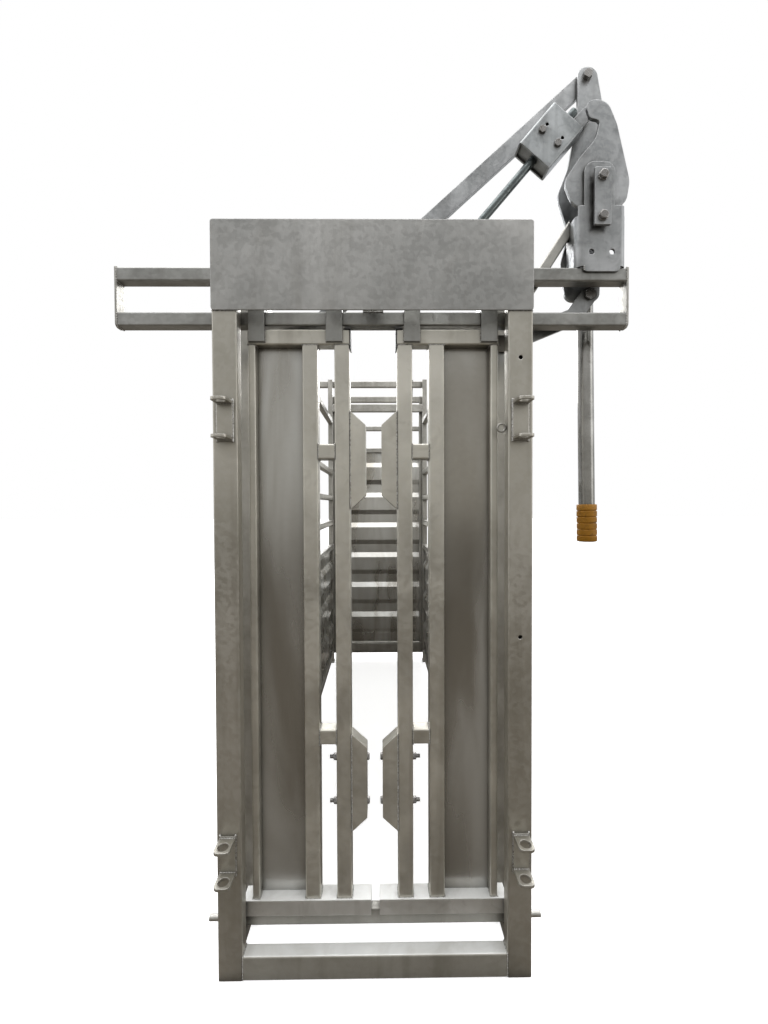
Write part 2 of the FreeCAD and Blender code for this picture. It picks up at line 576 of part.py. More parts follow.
def bracket_strap():
    """Strap in front of the bracket, its two spacers and its two bolts."""
    y1 = BRACKET_FRONT - STRAP_STANDOFF
    y0 = y1 - STRAP_THICKNESS
    half = STRAP_WIDTH / 2
    strap = flat_plate([(PIVOT_X - half, PIVOT_Z - STRAP_BOLT_DROP - STRAP_END, 3),
                        (PIVOT_X + half, PIVOT_Z - STRAP_BOLT_DROP - STRAP_END, 3),
                        (PIVOT_X + half, PIVOT_Z + STRAP_END, 3), (PIVOT_X - half, PIVOT_Z + STRAP_END, 3)], y0, y1)
    spacers = []
    for drop in (0.0, STRAP_BOLT_DROP):
        hole = rod_y(PIVOT_X, PIVOT_Z - drop, y0 - 1, BRACKET_FRONT + 1, PIVOT_BOLT)
        strap = strap.cut(hole)
        spacers.append(rod_y(PIVOT_X, PIVOT_Z - drop, y1, BRACKET_FRONT, 30).cut(hole))
    save("bracket_strap", strap)
    save("strap_fasteners", *spacers)
    back = REAR_PLATE_Y + LEVER_PLATE
    pivot = rod_y(PIVOT_X, PIVOT_Z, y0, back + 14, PIVOT_BOLT)
    head = hexagon((PIVOT_X, y0, PIVOT_Z), (0, -1, 0), 24, 10)
    save("pivot_bolt", pivot.fuse(head).removeSplitter())
    nut = hexagon((PIVOT_X, back + SEAT_GAP, PIVOT_Z), (0, 1, 0), 24, 12)
    save("pivot_bolt", nut.cut(rod_y(PIVOT_X, PIVOT_Z, back, back + 20, PIVOT_BOLT)))
    z = PIVOT_Z - STRAP_BOLT_DROP
    bolt = rod_y(PIVOT_X, z, y0, BRACKET_FRONT + PLATE, PIVOT_BOLT)
    bolt = bolt.fuse(hexagon((PIVOT_X, y0, z), (0, -1, 0), 24, 10))
    bolt = bolt.fuse(hexagon((PIVOT_X, BRACKET_FRONT + PLATE, z), (0, 1, 0), 24, 8))
    save("strap_fasteners", bolt.removeSplitter())


def brace():
    """Slanting brace from the wing's back face up to the bracket's left flange."""
    x1 = BRACKET_CENTRE - BRACKET_WIDTH / 2
    width = 30.0
    y0 = RAIL_BACK
    bar = tube((-140, y0, -width / 2), (160, y0 + width - 6, width / 2), 0)
    bar.rotate(V(0, 0, 0), V(0, 1, 0), -57)
    bar.translate(V(x1 - 62, 0, UPPER_TOP + 40))
    save("bracket_brace", bar.cut(box((x1, y0 - 1, UPPER_TOP - 400), (x1 + 200, y0 + width + 1, UPPER_TOP + 400))))


def lever_plates():
    """Front hook plate, rear lever plate, hub, stay and the three pins."""
    x, z = PIVOT_X, PIVOT_Z
    front = flat_plate(shifted([(-42, 237, 34), (24, 240, 44), (54, 168, 90), (92, 5, 80), (80, -72, 40),
                                (-72, -72, 40), (-102, 2, 44), (-58, 68, 60), (-8, 128, 50), (4, 180, 10),
                                (-26, 186, 14)]),
                       FRONT_PLATE_Y, FRONT_PLATE_Y + LEVER_PLATE)
    bore = rod_y(x, z, FRONT_PLATE_Y - 1, REAR_PLATE_Y + LEVER_PLATE + 1, PIVOT_BOLT + 2 * FIT)
    save("lever_front_plate", front.cut(bore))
    rear = flat_plate(shifted([(-29, 404, 28), (27, 404, 28), (46, 300, 60), (66, 140, 60), (64, -120, 80),
                               (43, -215, 60), (41, -312, 26), (-64, -312, 26), (-82, -200, 60),
                               (-56, -105, 60), (-92, 8, 60), (-58, 95, 60), (-40, 200, 80), (-29, 290, 60)]),
                       REAR_PLATE_Y, REAR_PLATE_Y + LEVER_PLATE)
    save("lever_rear_plate", rear.cut(bore))
    save("lever_spacers", rod_y(x, z, FRONT_PLATE_Y + LEVER_PLATE, REAR_PLATE_Y, HUB_DIAMETER).cut(bore))
    save("lever_spacers", rod_y(*from_pivot(STAY), FRONT_PLATE_Y + LEVER_PLATE, REAR_PLATE_Y, 24))


def lever_pins():
    """Pins of the two links and the stub that drives the lock box."""
    front = REAR_PLATE_Y
    back = REAR_PLATE_Y + LEVER_PLATE
    x, z = from_pivot(TOP_PIN)
    end = LEFT_LINK_Y + LEFT_LINK_THICKNESS
    top = rod_y(x, z, back, end + RUNNING_GAP, LINK_PIN)
    top = top.fuse(hexagon((x, end + RUNNING_GAP, z), (0, 1, 0), LINK_HEAD, LINK_NUT))
    save("lever_pins", top.removeSplitter())
    save("lever_pins", hexagon((x, front, z), (0, -1, 0), 24, 12))
    x, z = from_pivot(LOWER_PIN)
    start = RIGHT_LINK_Y - RUNNING_GAP
    low = rod_y(x, z, start, front, LINK_PIN)
    low = low.fuse(hexagon((x, start, z), (0, -1, 0), LINK_HEAD, 8))
    save("lever_pins", low.removeSplitter())
    x, z = from_pivot(LOCK_PIN)
    save("lever_pins", rod_y(x, z, ROD_Y + LOCK_STUB_FRONT, front, LINK_PIN))


def handle():
    """Handle tube on the back of the rear plate, and its ribbed grip."""
    run = V(HANDLE_BOTTOM[0] - HANDLE_TOP[0], 0, HANDLE_BOTTOM[1] - HANDLE_TOP[1])
    length = run.Length
    x, z = from_pivot(HANDLE_TOP)
    start = V(x, HANDLE_Y, z)
    outer = Part.makeCylinder(HANDLE_DIAMETER / 2, length, start, run)
    inner = Part.makeCylinder(HANDLE_DIAMETER / 2 - HANDLE_WALL, length, start, run)
    save("handle_tube", outer.cut(inner))
    along = V(run).normalize()
    grip_start = start + along * (length - GRIP_LENGTH + GRIP_END)
    bore = HANDLE_DIAMETER / 2 + 0.1
    grip = Part.makeCylinder(GRIP_DIAMETER / 2, GRIP_LENGTH, grip_start, run)
    grip = grip.cut(Part.makeCylinder(bore, GRIP_LENGTH - GRIP_END + 0.2, grip_start, run))
    pitch = GRIP_LENGTH / (GRIP_GROOVES + 1)
    for k in range(1, GRIP_GROOVES + 1):
        place = grip_start + along * (pitch * k - 1.5)
        ring = Part.makeCylinder(GRIP_DIAMETER / 2 + 1, 3, place, run)
        grip = grip.cut(ring.cut(Part.makeCylinder(GRIP_DIAMETER / 2 - 2, 3, place, run)))
    save("handle_grip", grip)


# ================================================================ links and lock
def links():
    """Bars that pull the two leaves; each turns on a pin of the lever."""
    y0 = LEFT_LINK_Y
    y1 = y0 + LEFT_LINK_THICKNESS
    start = from_pivot(TOP_PIN)
    bar = link_bar(LEFT_LEAF_PIN, start, LEFT_LINK_WIDTH, y0, y1)
    bar = bar.cut(rod_y(*start, y0 - 1, y1 + 1, LINK_PIN + 2 * FIT))
    nut = hexagon((LEFT_LEAF_PIN[0], y1, LEFT_LEAF_PIN[1]), (0, 1, 0), LINK_HEAD, LINK_NUT)
    save("left_link_bar", bar, nut)
    y0 = RIGHT_LINK_Y
    y1 = y0 + RIGHT_LINK_THICKNESS
    start = from_pivot(LOWER_PIN)
    upper = link_bar(RIGHT_LINK_ELBOW, start, RIGHT_LINK_WIDTH, y0, y1)
    lower = link_bar(RIGHT_LEAF_PIN, RIGHT_LINK_ELBOW, RIGHT_LINK_WIDTH, y0, y1)
    bar = upper.fuse(lower).removeSplitter()
    save("right_link_bar", bar.cut(rod_y(*start, y0 - 1, y1 + 1, LINK_PIN + 2 * FIT)))
    save("right_link_bar", hexagon((RIGHT_LEAF_PIN[0], y1, RIGHT_LEAF_PIN[1]), (0, 1, 0), LINK_HEAD, LINK_NUT))


def along_rod(shape):
    """Place a piece made along +X about the origin onto the rod, centred on the box."""
    angle = math.degrees(math.atan2(BOX_CENTRE[1] - ROD_ANCHOR[1], BOX_CENTRE[0] - ROD_ANCHOR[0]))
    shape.rotate(V(0, 0, 0), V(0, 1, 0), -angle)
    shape.translate(V(BOX_CENTRE[0], ROD_Y, BOX_CENTRE[1]))
    return shape


def lock_rod():
    """Rod with an eye at its lower end, and the lug and pin that hold it."""
    x, z = ROD_ANCHOR
    reach = math.hypot(BOX_CENTRE[0] - x, BOX_CENTRE[1] - z)
    rod = Part.makeCylinder(ROD_DIAMETER / 2, reach + BOX_LENGTH / 2 + ROD_PAST_BOX,
                            V(-reach, 0, 0), V(1, 0, 0))
    eye = Part.makeCylinder(ROD_EYE / 2, ROD_DIAMETER + 1, V(-reach, -(ROD_DIAMETER + 1) / 2, 0), V(0, 1, 0))
    rod = along_rod(rod.fuse(eye).removeSplitter())
    y0 = ROD_Y - ROD_DIAMETER / 2 - 0.5
    y1 = ROD_Y + ROD_DIAMETER / 2 + 0.5
    save("lock_rod", rod.cut(rod_y(x, z, y0 - 1, y1 + 1, LINK_PIN + 2 * FIT)))
    lug_back = y0 - ANCHOR_GAP
    lug = flat_plate([(x - 40, UPPER_TOP, 0), (x + 40, UPPER_TOP, 0), (x + 26, z + 26, 24), (x - 26, z + 26, 24)],
                     lug_back - ANCHOR_PLATE, lug_back)
    pin = rod_y(x, z, lug_back, y1 + ANCHOR_GAP, LINK_PIN)
    pin = pin.fuse(hexagon((x, y1 + ANCHOR_GAP, z), (0, 1, 0), LINK_HEAD, 10))
    save("rod_anchor", lug)
    save("rod_anchor", pin.removeSplitter())


def lock_box():
    """Lock box that slides on the rod: casing, end plates, jaws, spring and bolt heads."""
    half = BOX_LENGTH / 2
    wide = BOX_WIDTH / 2
    deep = BOX_DEPTH / 2
    bore = Part.makeCylinder(ROD_DIAMETER / 2 + FIT, 2 * BOX_LENGTH, V(-BOX_LENGTH, 0, 0), V(1, 0, 0))
    casing = tube((-half, -deep, -wide), (half, deep, wide), 0, BOX_WALL, BOX_CORNER)
    for x, z in BOX_HOLE_PLACES:
        casing = casing.cut(Part.makeCylinder(BOX_HOLE / 2, BOX_WALL + 2, V(x, -deep - 1, z), V(0, 1, 0)))
    save("lock_casing", along_rod(casing))
    for x, z in BOX_BOLT_PLACES:
        save("lock_bolts", along_rod(hexagon((x, -deep, z), (0, -1, 0), 19, 6)))
    inner_wide = wide - BOX_WALL
    inner_deep = deep - BOX_WALL
    for x in (-half + BOX_END_INSET, half - BOX_END_INSET - PLATE):
        plate = rounded_bar((x, -inner_deep, -inner_wide), (x + PLATE, inner_deep, inner_wide), 0, BOX_END_CORNER)
        save("lock_end_plates", along_rod(plate.cut(bore)))
    jaw_wide = inner_wide - JAW_SIDE_GAP
    for x in JAW_PLACES:
        jaw = box((x, -inner_deep, -jaw_wide), (x + JAW_THICKNESS, inner_deep, jaw_wide))
        save("lock_jaws", along_rod(jaw.cut(bore)))
    start = JAW_PLACES[0] + JAW_THICKNESS + SEAT_GAP
    end = JAW_PLACES[1] - SEAT_GAP
    inner = ROD_DIAMETER / 2 + SPRING_GAP
    spring = Part.makeCylinder(inner + SPRING_WALL, end - start, V(start, 0, 0), V(1, 0, 0))
    save("lock_jaws", along_rod(spring.cut(Part.makeCylinder(inner, end - start, V(start, 0, 0), V(1, 0, 0)))))


def lock_lug():
    """Lug at the box's upper end, reaching to the lever's stub."""
    angle = math.atan2(BOX_CENTRE[1] - ROD_ANCHOR[1], BOX_CENTRE[0] - ROD_ANCHOR[0])
    x, z = from_pivot(LOCK_PIN)
    dx = x - BOX_CENTRE[0]
    dz = z - BOX_CENTRE[1]
    along = dx * math.cos(angle) + dz * math.sin(angle)
    across = -dx * math.sin(angle) + dz * math.cos(angle)
    half = LOCK_LUG_WIDTH / 2
    start = BOX_LENGTH / 2 - BOX_END_INSET
    tip = along + LOCK_LUG_PAST_PIN
    lug = flat_plate([(start, across - half, 0), (tip, across - half, half - 2),
                      (tip, across + half, half - 2), (start, across + half, 0)],
                     LOCK_LUG_FRONT, LOCK_STUB_FRONT - SEAT_GAP)
    save("lock_lug", along_rod(lug))


# ================================================================ race
def ribbed_sheet(low, high, thickness):
    """Cross-section of a ribbed sheet: a list of (offset, height) round its outline."""
    front = [(0.0, low)]
    height = low
    while height + RIB_PITCH <= high + 1:
        base = height + RIB_PITCH - RIB_FLAT - 2 * RIB_SLOPE
        front += [(0.0, base), (RIB_DEPTH, base + RIB_SLOPE),
                  (RIB_DEPTH, base + RIB_SLOPE + RIB_FLAT), (0.0, base + 2 * RIB_SLOPE + RIB_FLAT)]
        height += RIB_PITCH
    if high - height > 1:
        front.append((0.0, high))
    back = [(offset - thickness, z) for offset, z in reversed(front)]
    return front + back


def race_sides():
    """Posts, rails, sheets and feet of both sides."""
    x0, x1 = RACE_HALF_WIDTH, RACE_OUTER
    post_fronts = (RACE_POST_FRONT, MIDDLE_POST_FRONT, REAR_POST_FRONT)
    tops = (UPPER_TOP, UPPER_TOP, REAR_POST_TOP)
    bottom_top = BOTTOM_RAIL + TUBE
    widths = (RACE_POST_WIDTH, TUBE, TUBE)
    for name, y0, top, width in zip(("race_posts", "race_posts", "rear_posts"), post_fronts, tops, widths):
        post = tube((x0, y0, FOOT), (x0 + width, y0 + TUBE, top), 2)
        save(name, mirrored(post), post)
    feet = []
    for y0 in post_fronts:
        margin = (FOOT_WIDTH - TUBE) / 2
        foot = box((x0 - 5, y0 - margin, 0), (x1 + margin, y0 + TUBE + margin, FOOT))
        feet += [foot, mirrored(foot)]
    save("race_feet", *feet)
    bays = [(RACE_POST_FRONT + TUBE, MIDDLE_POST_FRONT), (MIDDLE_POST_FRONT + TUBE, REAR_POST_FRONT)]
    rails = []
    sheets = []
    for start, end in bays:
        for height in SIDE_RAIL_HEIGHTS:
            rails.append(tube((x0, start, height), (x1, end, height + TUBE), 1))
        rails.append(tube((x0, start, SHEET_TOP), (x1, end, SHEET_TOP + TUBE), 1))
        rails.append(tube((x0, start, BOTTOM_RAIL), (x1, end, bottom_top), 1))
        outline = [V(x0 + RIB_DEPTH + SHEET_THICKNESS - offset, start, z)
                   for offset, z in ribbed_sheet(bottom_top, SHEET_TOP, SHEET_THICKNESS)]
        sheets.append(Part.Face(Part.makePolygon(outline + outline[:1])).extrude(V(0, end - start, 0)))
    rails.append(tube((x0, POST_BACK, BOTTOM_RAIL), (x1, RACE_POST_FRONT, bottom_top), 1))
    save("race_side_rails", *rails, *[mirrored(s) for s in rails])
    save("race_side_sheets", *sheets, *[mirrored(s) for s in sheets])
    stringer = tube((x0, RAIL_FRONT, UPPER_TOP), (x1, REAR_POST_FRONT, UPPER_TOP + TUBE), 1)
    save("top_stringers", stringer, mirrored(stringer))


def race_ties():
    """Cross tubes that hold the two sides apart."""
    save("cross_ties", tube((-RACE_HALF_WIDTH, RACE_POST_FRONT, UPPER_TOP),
                            (RACE_HALF_WIDTH, RACE_POST_FRONT + TUBE, UPPER_TOP + TUBE), 0))
    save("cross_ties", tube((-RACE_HALF_WIDTH, REAR_POST_FRONT, REAR_TIE[0]),
                            (RACE_HALF_WIDTH, REAR_POST_FRONT + TUBE, REAR_TIE[1]), 0))


# ================================================================ rear door
def door_track():
    """Track, bottom guide and end post that carry the rear door."""
    y0, y1 = TRACK_FRONT, TRACK_BACK
    right = RACE_OUTER
    save("door_track", tube((TRACK_END, y0, TRACK_BOTTOM), (right, y1, TRACK_BOTTOM + TRACK_HEIGHT), 0))
    save("door_bottom_guide", tube((TRACK_END, y0 + 2, BOTTOM_RAIL), (right, y1 - 2, BOTTOM_RAIL + TUBE), 0))
    post = tube((TRACK_END - TUBE, y0, FOOT), (TRACK_END, y1, TRACK_BOTTOM + TRACK_HEIGHT), 2)
    save("track_end_post", post)
    margin = (FOOT_WIDTH - TUBE) / 2
    save("race_feet", box((TRACK_END - TUBE - margin, y0 - margin, 0), (TRACK_END + margin, y1 + margin, FOOT)))
    spacers = []
    back = REAR_POST_FRONT + TUBE
    for low, high, front in ((TRACK_BOTTOM, TRACK_BOTTOM + 30, y0), (BOTTOM_RAIL + 2, BOTTOM_RAIL + 20, y0 + 2)):
        block = box((RACE_HALF_WIDTH + 5, back, low), (RACE_OUTER - 5, front, high))
        spacers += [block, mirrored(block)]
    save("track_spacers", *spacers)


def rear_door():
    """Sliding rear door: frame, ribbed sheet, hangers and bottom flats."""
    y0, y1 = TRACK_FRONT, TRACK_BACK
    half = DOOR_HALF
    inner = half - TUBE
    stile = tube((-half, y0, DOOR_BOTTOM), (-inner, y1, DOOR_TOP), 2)
    frame = [stile, mirrored(stile)]
    for low, high in ((DOOR_TOP - DOOR_TOP_BAR, DOOR_TOP), DOOR_MIDDLE_BAR,
                      (DOOR_SHEET_TOP, DOOR_SHEET_TOP + TUBE), (DOOR_BOTTOM, DOOR_BOTTOM + TUBE)):
        frame.append(tube((-inner, y0, low), (inner, y1, high), 0))
    save("door_frame", *frame)
    outline = [V(-inner, y0 + RIB_DEPTH + SHEET_THICKNESS - offset, z)
               for offset, z in ribbed_sheet(DOOR_BOTTOM + TUBE, DOOR_SHEET_TOP, SHEET_THICKNESS)]
    save("door_sheet", Part.Face(Part.makePolygon(outline + outline[:1])).extrude(V(2 * inner, 0, 0)))
    hangers = []
    top = TRACK_BOTTOM + TRACK_HEIGHT + SEAT_GAP
    for side in (-1, 1):
        x = side * (half - DOOR_HANGER_INSET)
        x0, x1 = x - DOOR_HANGER_WIDTH / 2, x + DOOR_HANGER_WIDTH / 2
        back = y1 + RUNNING_GAP
        lip = y0 - RUNNING_GAP - HOOK_PLATE
        hangers.append(box((x0, y1, DOOR_TOP - 40), (x1, back, DOOR_TOP)))
        hangers.append(box((x0, back, DOOR_TOP - 40), (x1, back + HOOK_PLATE, top)))
        hangers.append(box((x0, lip, top), (x1, back + HOOK_PLATE, top + HOOK_PLATE)))
        hangers.append(box((x0, lip, top - 12), (x1, lip + HOOK_PLATE, top)))
    save("door_hangers", *hangers)
    flats = []
    for front in (y0 - PLATE, y1):
        flats.append(box((-half, front, DOOR_BOTTOM - DOOR_SHOE_DROP), (half, front + PLATE, DOOR_BOTTOM + 30)))
    save("door_hangers", *flats)


def main():
    """Build every piece and write one STEP file for each node."""
    portal()
    wings()
    gate_lugs()
    leaves()
    lever_bracket()
    bracket_strap()
    brace()
    lever_plates()
    lever_pins()
    handle()
    links()
    lock_rod()
    lock_box()
    lock_lug()
    race_sides()
    race_ties()
    door_track()
    rear_door()
    os.makedirs("parts", exist_ok=True)
    for name, solids in NODES.items():
        for solid in solids:
            if not solid.isValid() or len(solid.Solids) != 1:
                raise ValueError(name + " is not a sound solid: %d" % len(solid.Solids))
        shape = solids[0] if len(solids) == 1 else Part.makeCompound(solids)
        shape.exportStep("parts/" + name + ".step")
    print(len(NODES), "nodes", sum(len(s) for s in NODES.values()), "solids")


main()
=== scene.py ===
"""Looks of the cattle crush: finishes for the CAD pieces, and the small pieces CAD leaves out."""
import logging
import math
from dataclasses import dataclass, field
from enum import Enum

import bmesh
import bpy
from mathutils import Matrix, Vector


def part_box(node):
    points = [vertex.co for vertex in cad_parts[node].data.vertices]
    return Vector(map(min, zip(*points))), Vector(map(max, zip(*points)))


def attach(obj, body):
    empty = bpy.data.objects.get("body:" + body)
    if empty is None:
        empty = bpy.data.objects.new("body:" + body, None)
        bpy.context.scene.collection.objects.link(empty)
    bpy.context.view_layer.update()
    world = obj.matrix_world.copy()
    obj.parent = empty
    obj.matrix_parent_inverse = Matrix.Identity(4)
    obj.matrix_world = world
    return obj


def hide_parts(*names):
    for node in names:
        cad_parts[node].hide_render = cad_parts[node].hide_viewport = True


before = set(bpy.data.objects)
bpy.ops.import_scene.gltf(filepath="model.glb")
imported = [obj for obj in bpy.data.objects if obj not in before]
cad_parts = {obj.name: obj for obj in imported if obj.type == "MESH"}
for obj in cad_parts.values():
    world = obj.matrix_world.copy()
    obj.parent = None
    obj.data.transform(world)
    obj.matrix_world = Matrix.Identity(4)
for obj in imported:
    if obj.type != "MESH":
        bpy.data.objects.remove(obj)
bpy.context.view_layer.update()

LOG = logging.getLogger("crush")
Colour = tuple[float, float, float]
Point = tuple[float, float, float]
Socket = bpy.types.NodeSocket
Material = bpy.types.Material
Shape = bmesh.types.BMesh
SPANGLE_WARP = 0.012           # how far noise pulls the crystal cells out of shape
WEAR_AND_GLINT_TURN = (0.995, 0.86)       # cosine of the normal's turn at an edge: no lighter edge, full lighter edge (partly wear, partly a painted highlight)
OPEN_SHARE = (0.92, 0.30)      # share of open space round a point: no painted shade, full painted shade
UPWARD = (0.6, 0.9)            # upward part of the normal: no painted highlight, full painted highlight
BUMP_STRENGTH = 0.6


class Body(str, Enum):
    """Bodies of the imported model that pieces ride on."""

    FRAME = "frame"
    LEFT_LEAF = "left_leaf"
    RIGHT_LEAF = "right_leaf"
    LEVER = "lever"
    LEFT_LINK = "left_link"
    RIGHT_LINK = "right_link"
    LOCK_ROD = "lock_rod"
    LOCK_BOX = "lock_box"
    REAR_DOOR = "rear_door"


class Slot(str, Enum):
    """Material slots of the record."""

    TUBE = "galvanised_tube"
    SHEET = "galvanised_sheet"
    LEVER = "lever_plate"
    ZINC = "zinc_plated"
    GRIP = "grip"


class Wiring:
    """Node tree under construction."""

    def __init__(self, tree: bpy.types.NodeTree) -> None:
        """Work on that tree."""
        self.tree = tree

    def add(self, kind: str, values: dict[str | int, object] | None = None,
            **settings: object) -> bpy.types.Node:
        """Add a node.

        Args:
            kind: Node type.
            values: Values of its inputs, by name or place.
            **settings: Its properties.

        Returns:
            The node.
        """
        node = self.tree.nodes.new(kind)
        for key, value in settings.items():
            setattr(node, key, value)
        for key, value in (values or {}).items():
            node.inputs[key].default_value = value
        return node

    def link(self, *sockets: Socket) -> None:
        """Join sockets two by two: each source, then its target."""
        for source, target in zip(sockets[::2], sockets[1::2]):
            self.tree.links.new(source, target)


class Bench(Wiring):
    """Material under construction, with short calls for the nodes a finish needs."""

    def __init__(self, name: str) -> None:
        """Start a new material of that name."""
        self.material = bpy.data.materials.new(name)
        self.material.use_nodes = True
        super().__init__(self.material.node_tree)
        self.tree.nodes.clear()
        self.shader = self.add("ShaderNodeBsdfPrincipled")
        output = self.add("ShaderNodeOutputMaterial")
        self.link(self.shader.outputs["BSDF"], output.inputs["Surface"])
        self.place = self.add("ShaderNodeTexCoord").outputs["Object"]

    def stretched(self, scale: Point) -> Socket:
        """Object coordinates scaled by axis, for a pattern that runs one way."""
        node = self.add("ShaderNodeMapping", {"Scale": scale})
        self.link(self.place, node.inputs["Vector"])
        return node.outputs["Vector"]

    def noise(self, scale: float, detail: float = 4.0, twist: float = 0.0,
              along: Point | None = None) -> Socket:
        """Noise pattern between 0 and 1.

        Args:
            scale: Repeats in a metre.
            detail: Octaves.
            twist: Distortion.
            along: Scale by axis, where the pattern is stretched.

        Returns:
            The noise value's socket.
        """
        node = self.add("ShaderNodeTexNoise",
                        {"Scale": scale, "Detail": detail, "Distortion": twist})
        self.link(self.stretched(along) if along else self.place, node.inputs["Vector"])
        return node.outputs["Fac"]

    def spangle(self, scale: float) -> Socket:
        """Crystal cells of zinc, each with its own grey.

        Args:
            scale: Cells in a metre.

        Returns:
            A value between 0 and 1 that is the same all over one cell.
        """
        warp = self.add("ShaderNodeTexNoise", {"Scale": scale * 0.6})
        mixed = self.add("ShaderNodeMix", {"Factor": SPANGLE_WARP}, data_type="VECTOR")
        cells = self.add("ShaderNodeTexVoronoi", {"Scale": scale})
        parts = self.add("ShaderNodeSeparateColor")
        self.link(self.place, warp.inputs["Vector"], self.place, mixed.inputs[4],
                  warp.outputs["Color"], mixed.inputs[5], mixed.outputs[1], cells.inputs["Vector"],
                  cells.outputs["Color"], parts.inputs["Color"])
        return parts.outputs["Red"]

    def ranged(self, value: Socket, old: tuple[float, float],
               new: tuple[float, float]) -> Socket:
        """A value carried from one range to another, with soft ends."""
        node = self.add("ShaderNodeMapRange", dict(zip(
            ("From Min", "From Max", "To Min", "To Max"), old + new)),
            interpolation_type="SMOOTHSTEP")
        self.link(value, node.inputs["Value"])
        return node.outputs["Result"]

    def math(self, kind: str, first: Socket, second: Socket | float) -> Socket:
        """Sum, product or the like of a socket and a socket or number."""
        node = self.add("ShaderNodeMath", operation=kind)
        self.link(first, node.inputs[0])
        if isinstance(second, float):
            node.inputs[1].default_value = second
        else:
            self.link(second, node.inputs[1])
        return node.outputs["Value"]

    def times(self, first: Socket, second: Socket | float) -> Socket:
        """Product of a socket and a socket or number."""
        return self.math("MULTIPLY", first, second)

    def mask(self, value: Socket, low: float, high: float) -> Socket:
        """Mask that rises from 0 to 1 between two values."""
        return self.ranged(value, (low, high), (0.0, 1.0))

    def blend(self, share: Socket, first: Socket | Colour,
              second: Socket | Colour, kind: str = "MIX") -> Socket:
        """Mix of two colours.

        Args:
            share: How much of the second colour shows.
            first: Colour or colour socket.
            second: Colour or colour socket.
            kind: Blend type.

        Returns:
            The mixed colour's socket.
        """
        node = self.add("ShaderNodeMix", data_type="RGBA", blend_type=kind)
        self.link(share, node.inputs["Factor"])
        for value, socket in ((first, node.inputs[6]), (second, node.inputs[7])):
            if isinstance(value, tuple):
                socket.default_value = (*value, 1.0)
            else:
                self.link(value, socket)
        return node.outputs[2]

    def edges(self, radius: float) -> tuple[Socket, Socket]:
        """Lighter edges, partly rubbed wear and partly a painted highlight.

        Args:
            radius: How far the lighter edge reaches from an edge, in metres.

        Returns:
            The lighter edges' mask, and the rounded normal.
        """
        bevel = self.add("ShaderNodeBevel", {"Radius": radius}, samples=4)
        flat = self.add("ShaderNodeNewGeometry")
        dot = self.add("ShaderNodeVectorMath", operation="DOT_PRODUCT")
        self.link(bevel.outputs["Normal"], dot.inputs[0], flat.outputs["Normal"], dot.inputs[1])
        return self.mask(dot.outputs["Value"], *WEAR_AND_GLINT_TURN), bevel.outputs["Normal"]

    def shade_in_recesses(self, reach: float) -> Socket:
        """Mask of corners and gaps that get painted shade, within that reach in metres."""
        node = self.add("ShaderNodeAmbientOcclusion", {"Distance": reach}, samples=6)
        return self.mask(node.outputs["AO"], *OPEN_SHARE)

    def upward(self) -> Socket:
        """Mask of the faces that look up, where a painted highlight goes."""
        flat = self.add("ShaderNodeNewGeometry")
        parts = self.add("ShaderNodeSeparateXYZ")
        self.link(flat.outputs["True Normal"], parts.inputs["Vector"])
        return self.mask(parts.outputs["Z"], *UPWARD)

    def bump(self, height: Socket, depth: float, normal: Socket) -> None:
        """Relief of that height and depth on the shader, over a rounded normal."""
        node = self.add("ShaderNodeBump", {"Strength": BUMP_STRENGTH, "Distance": depth})
        self.link(height, node.inputs["Height"], normal, node.inputs["Normal"],
                  node.outputs["Normal"], self.shader.inputs["Normal"])


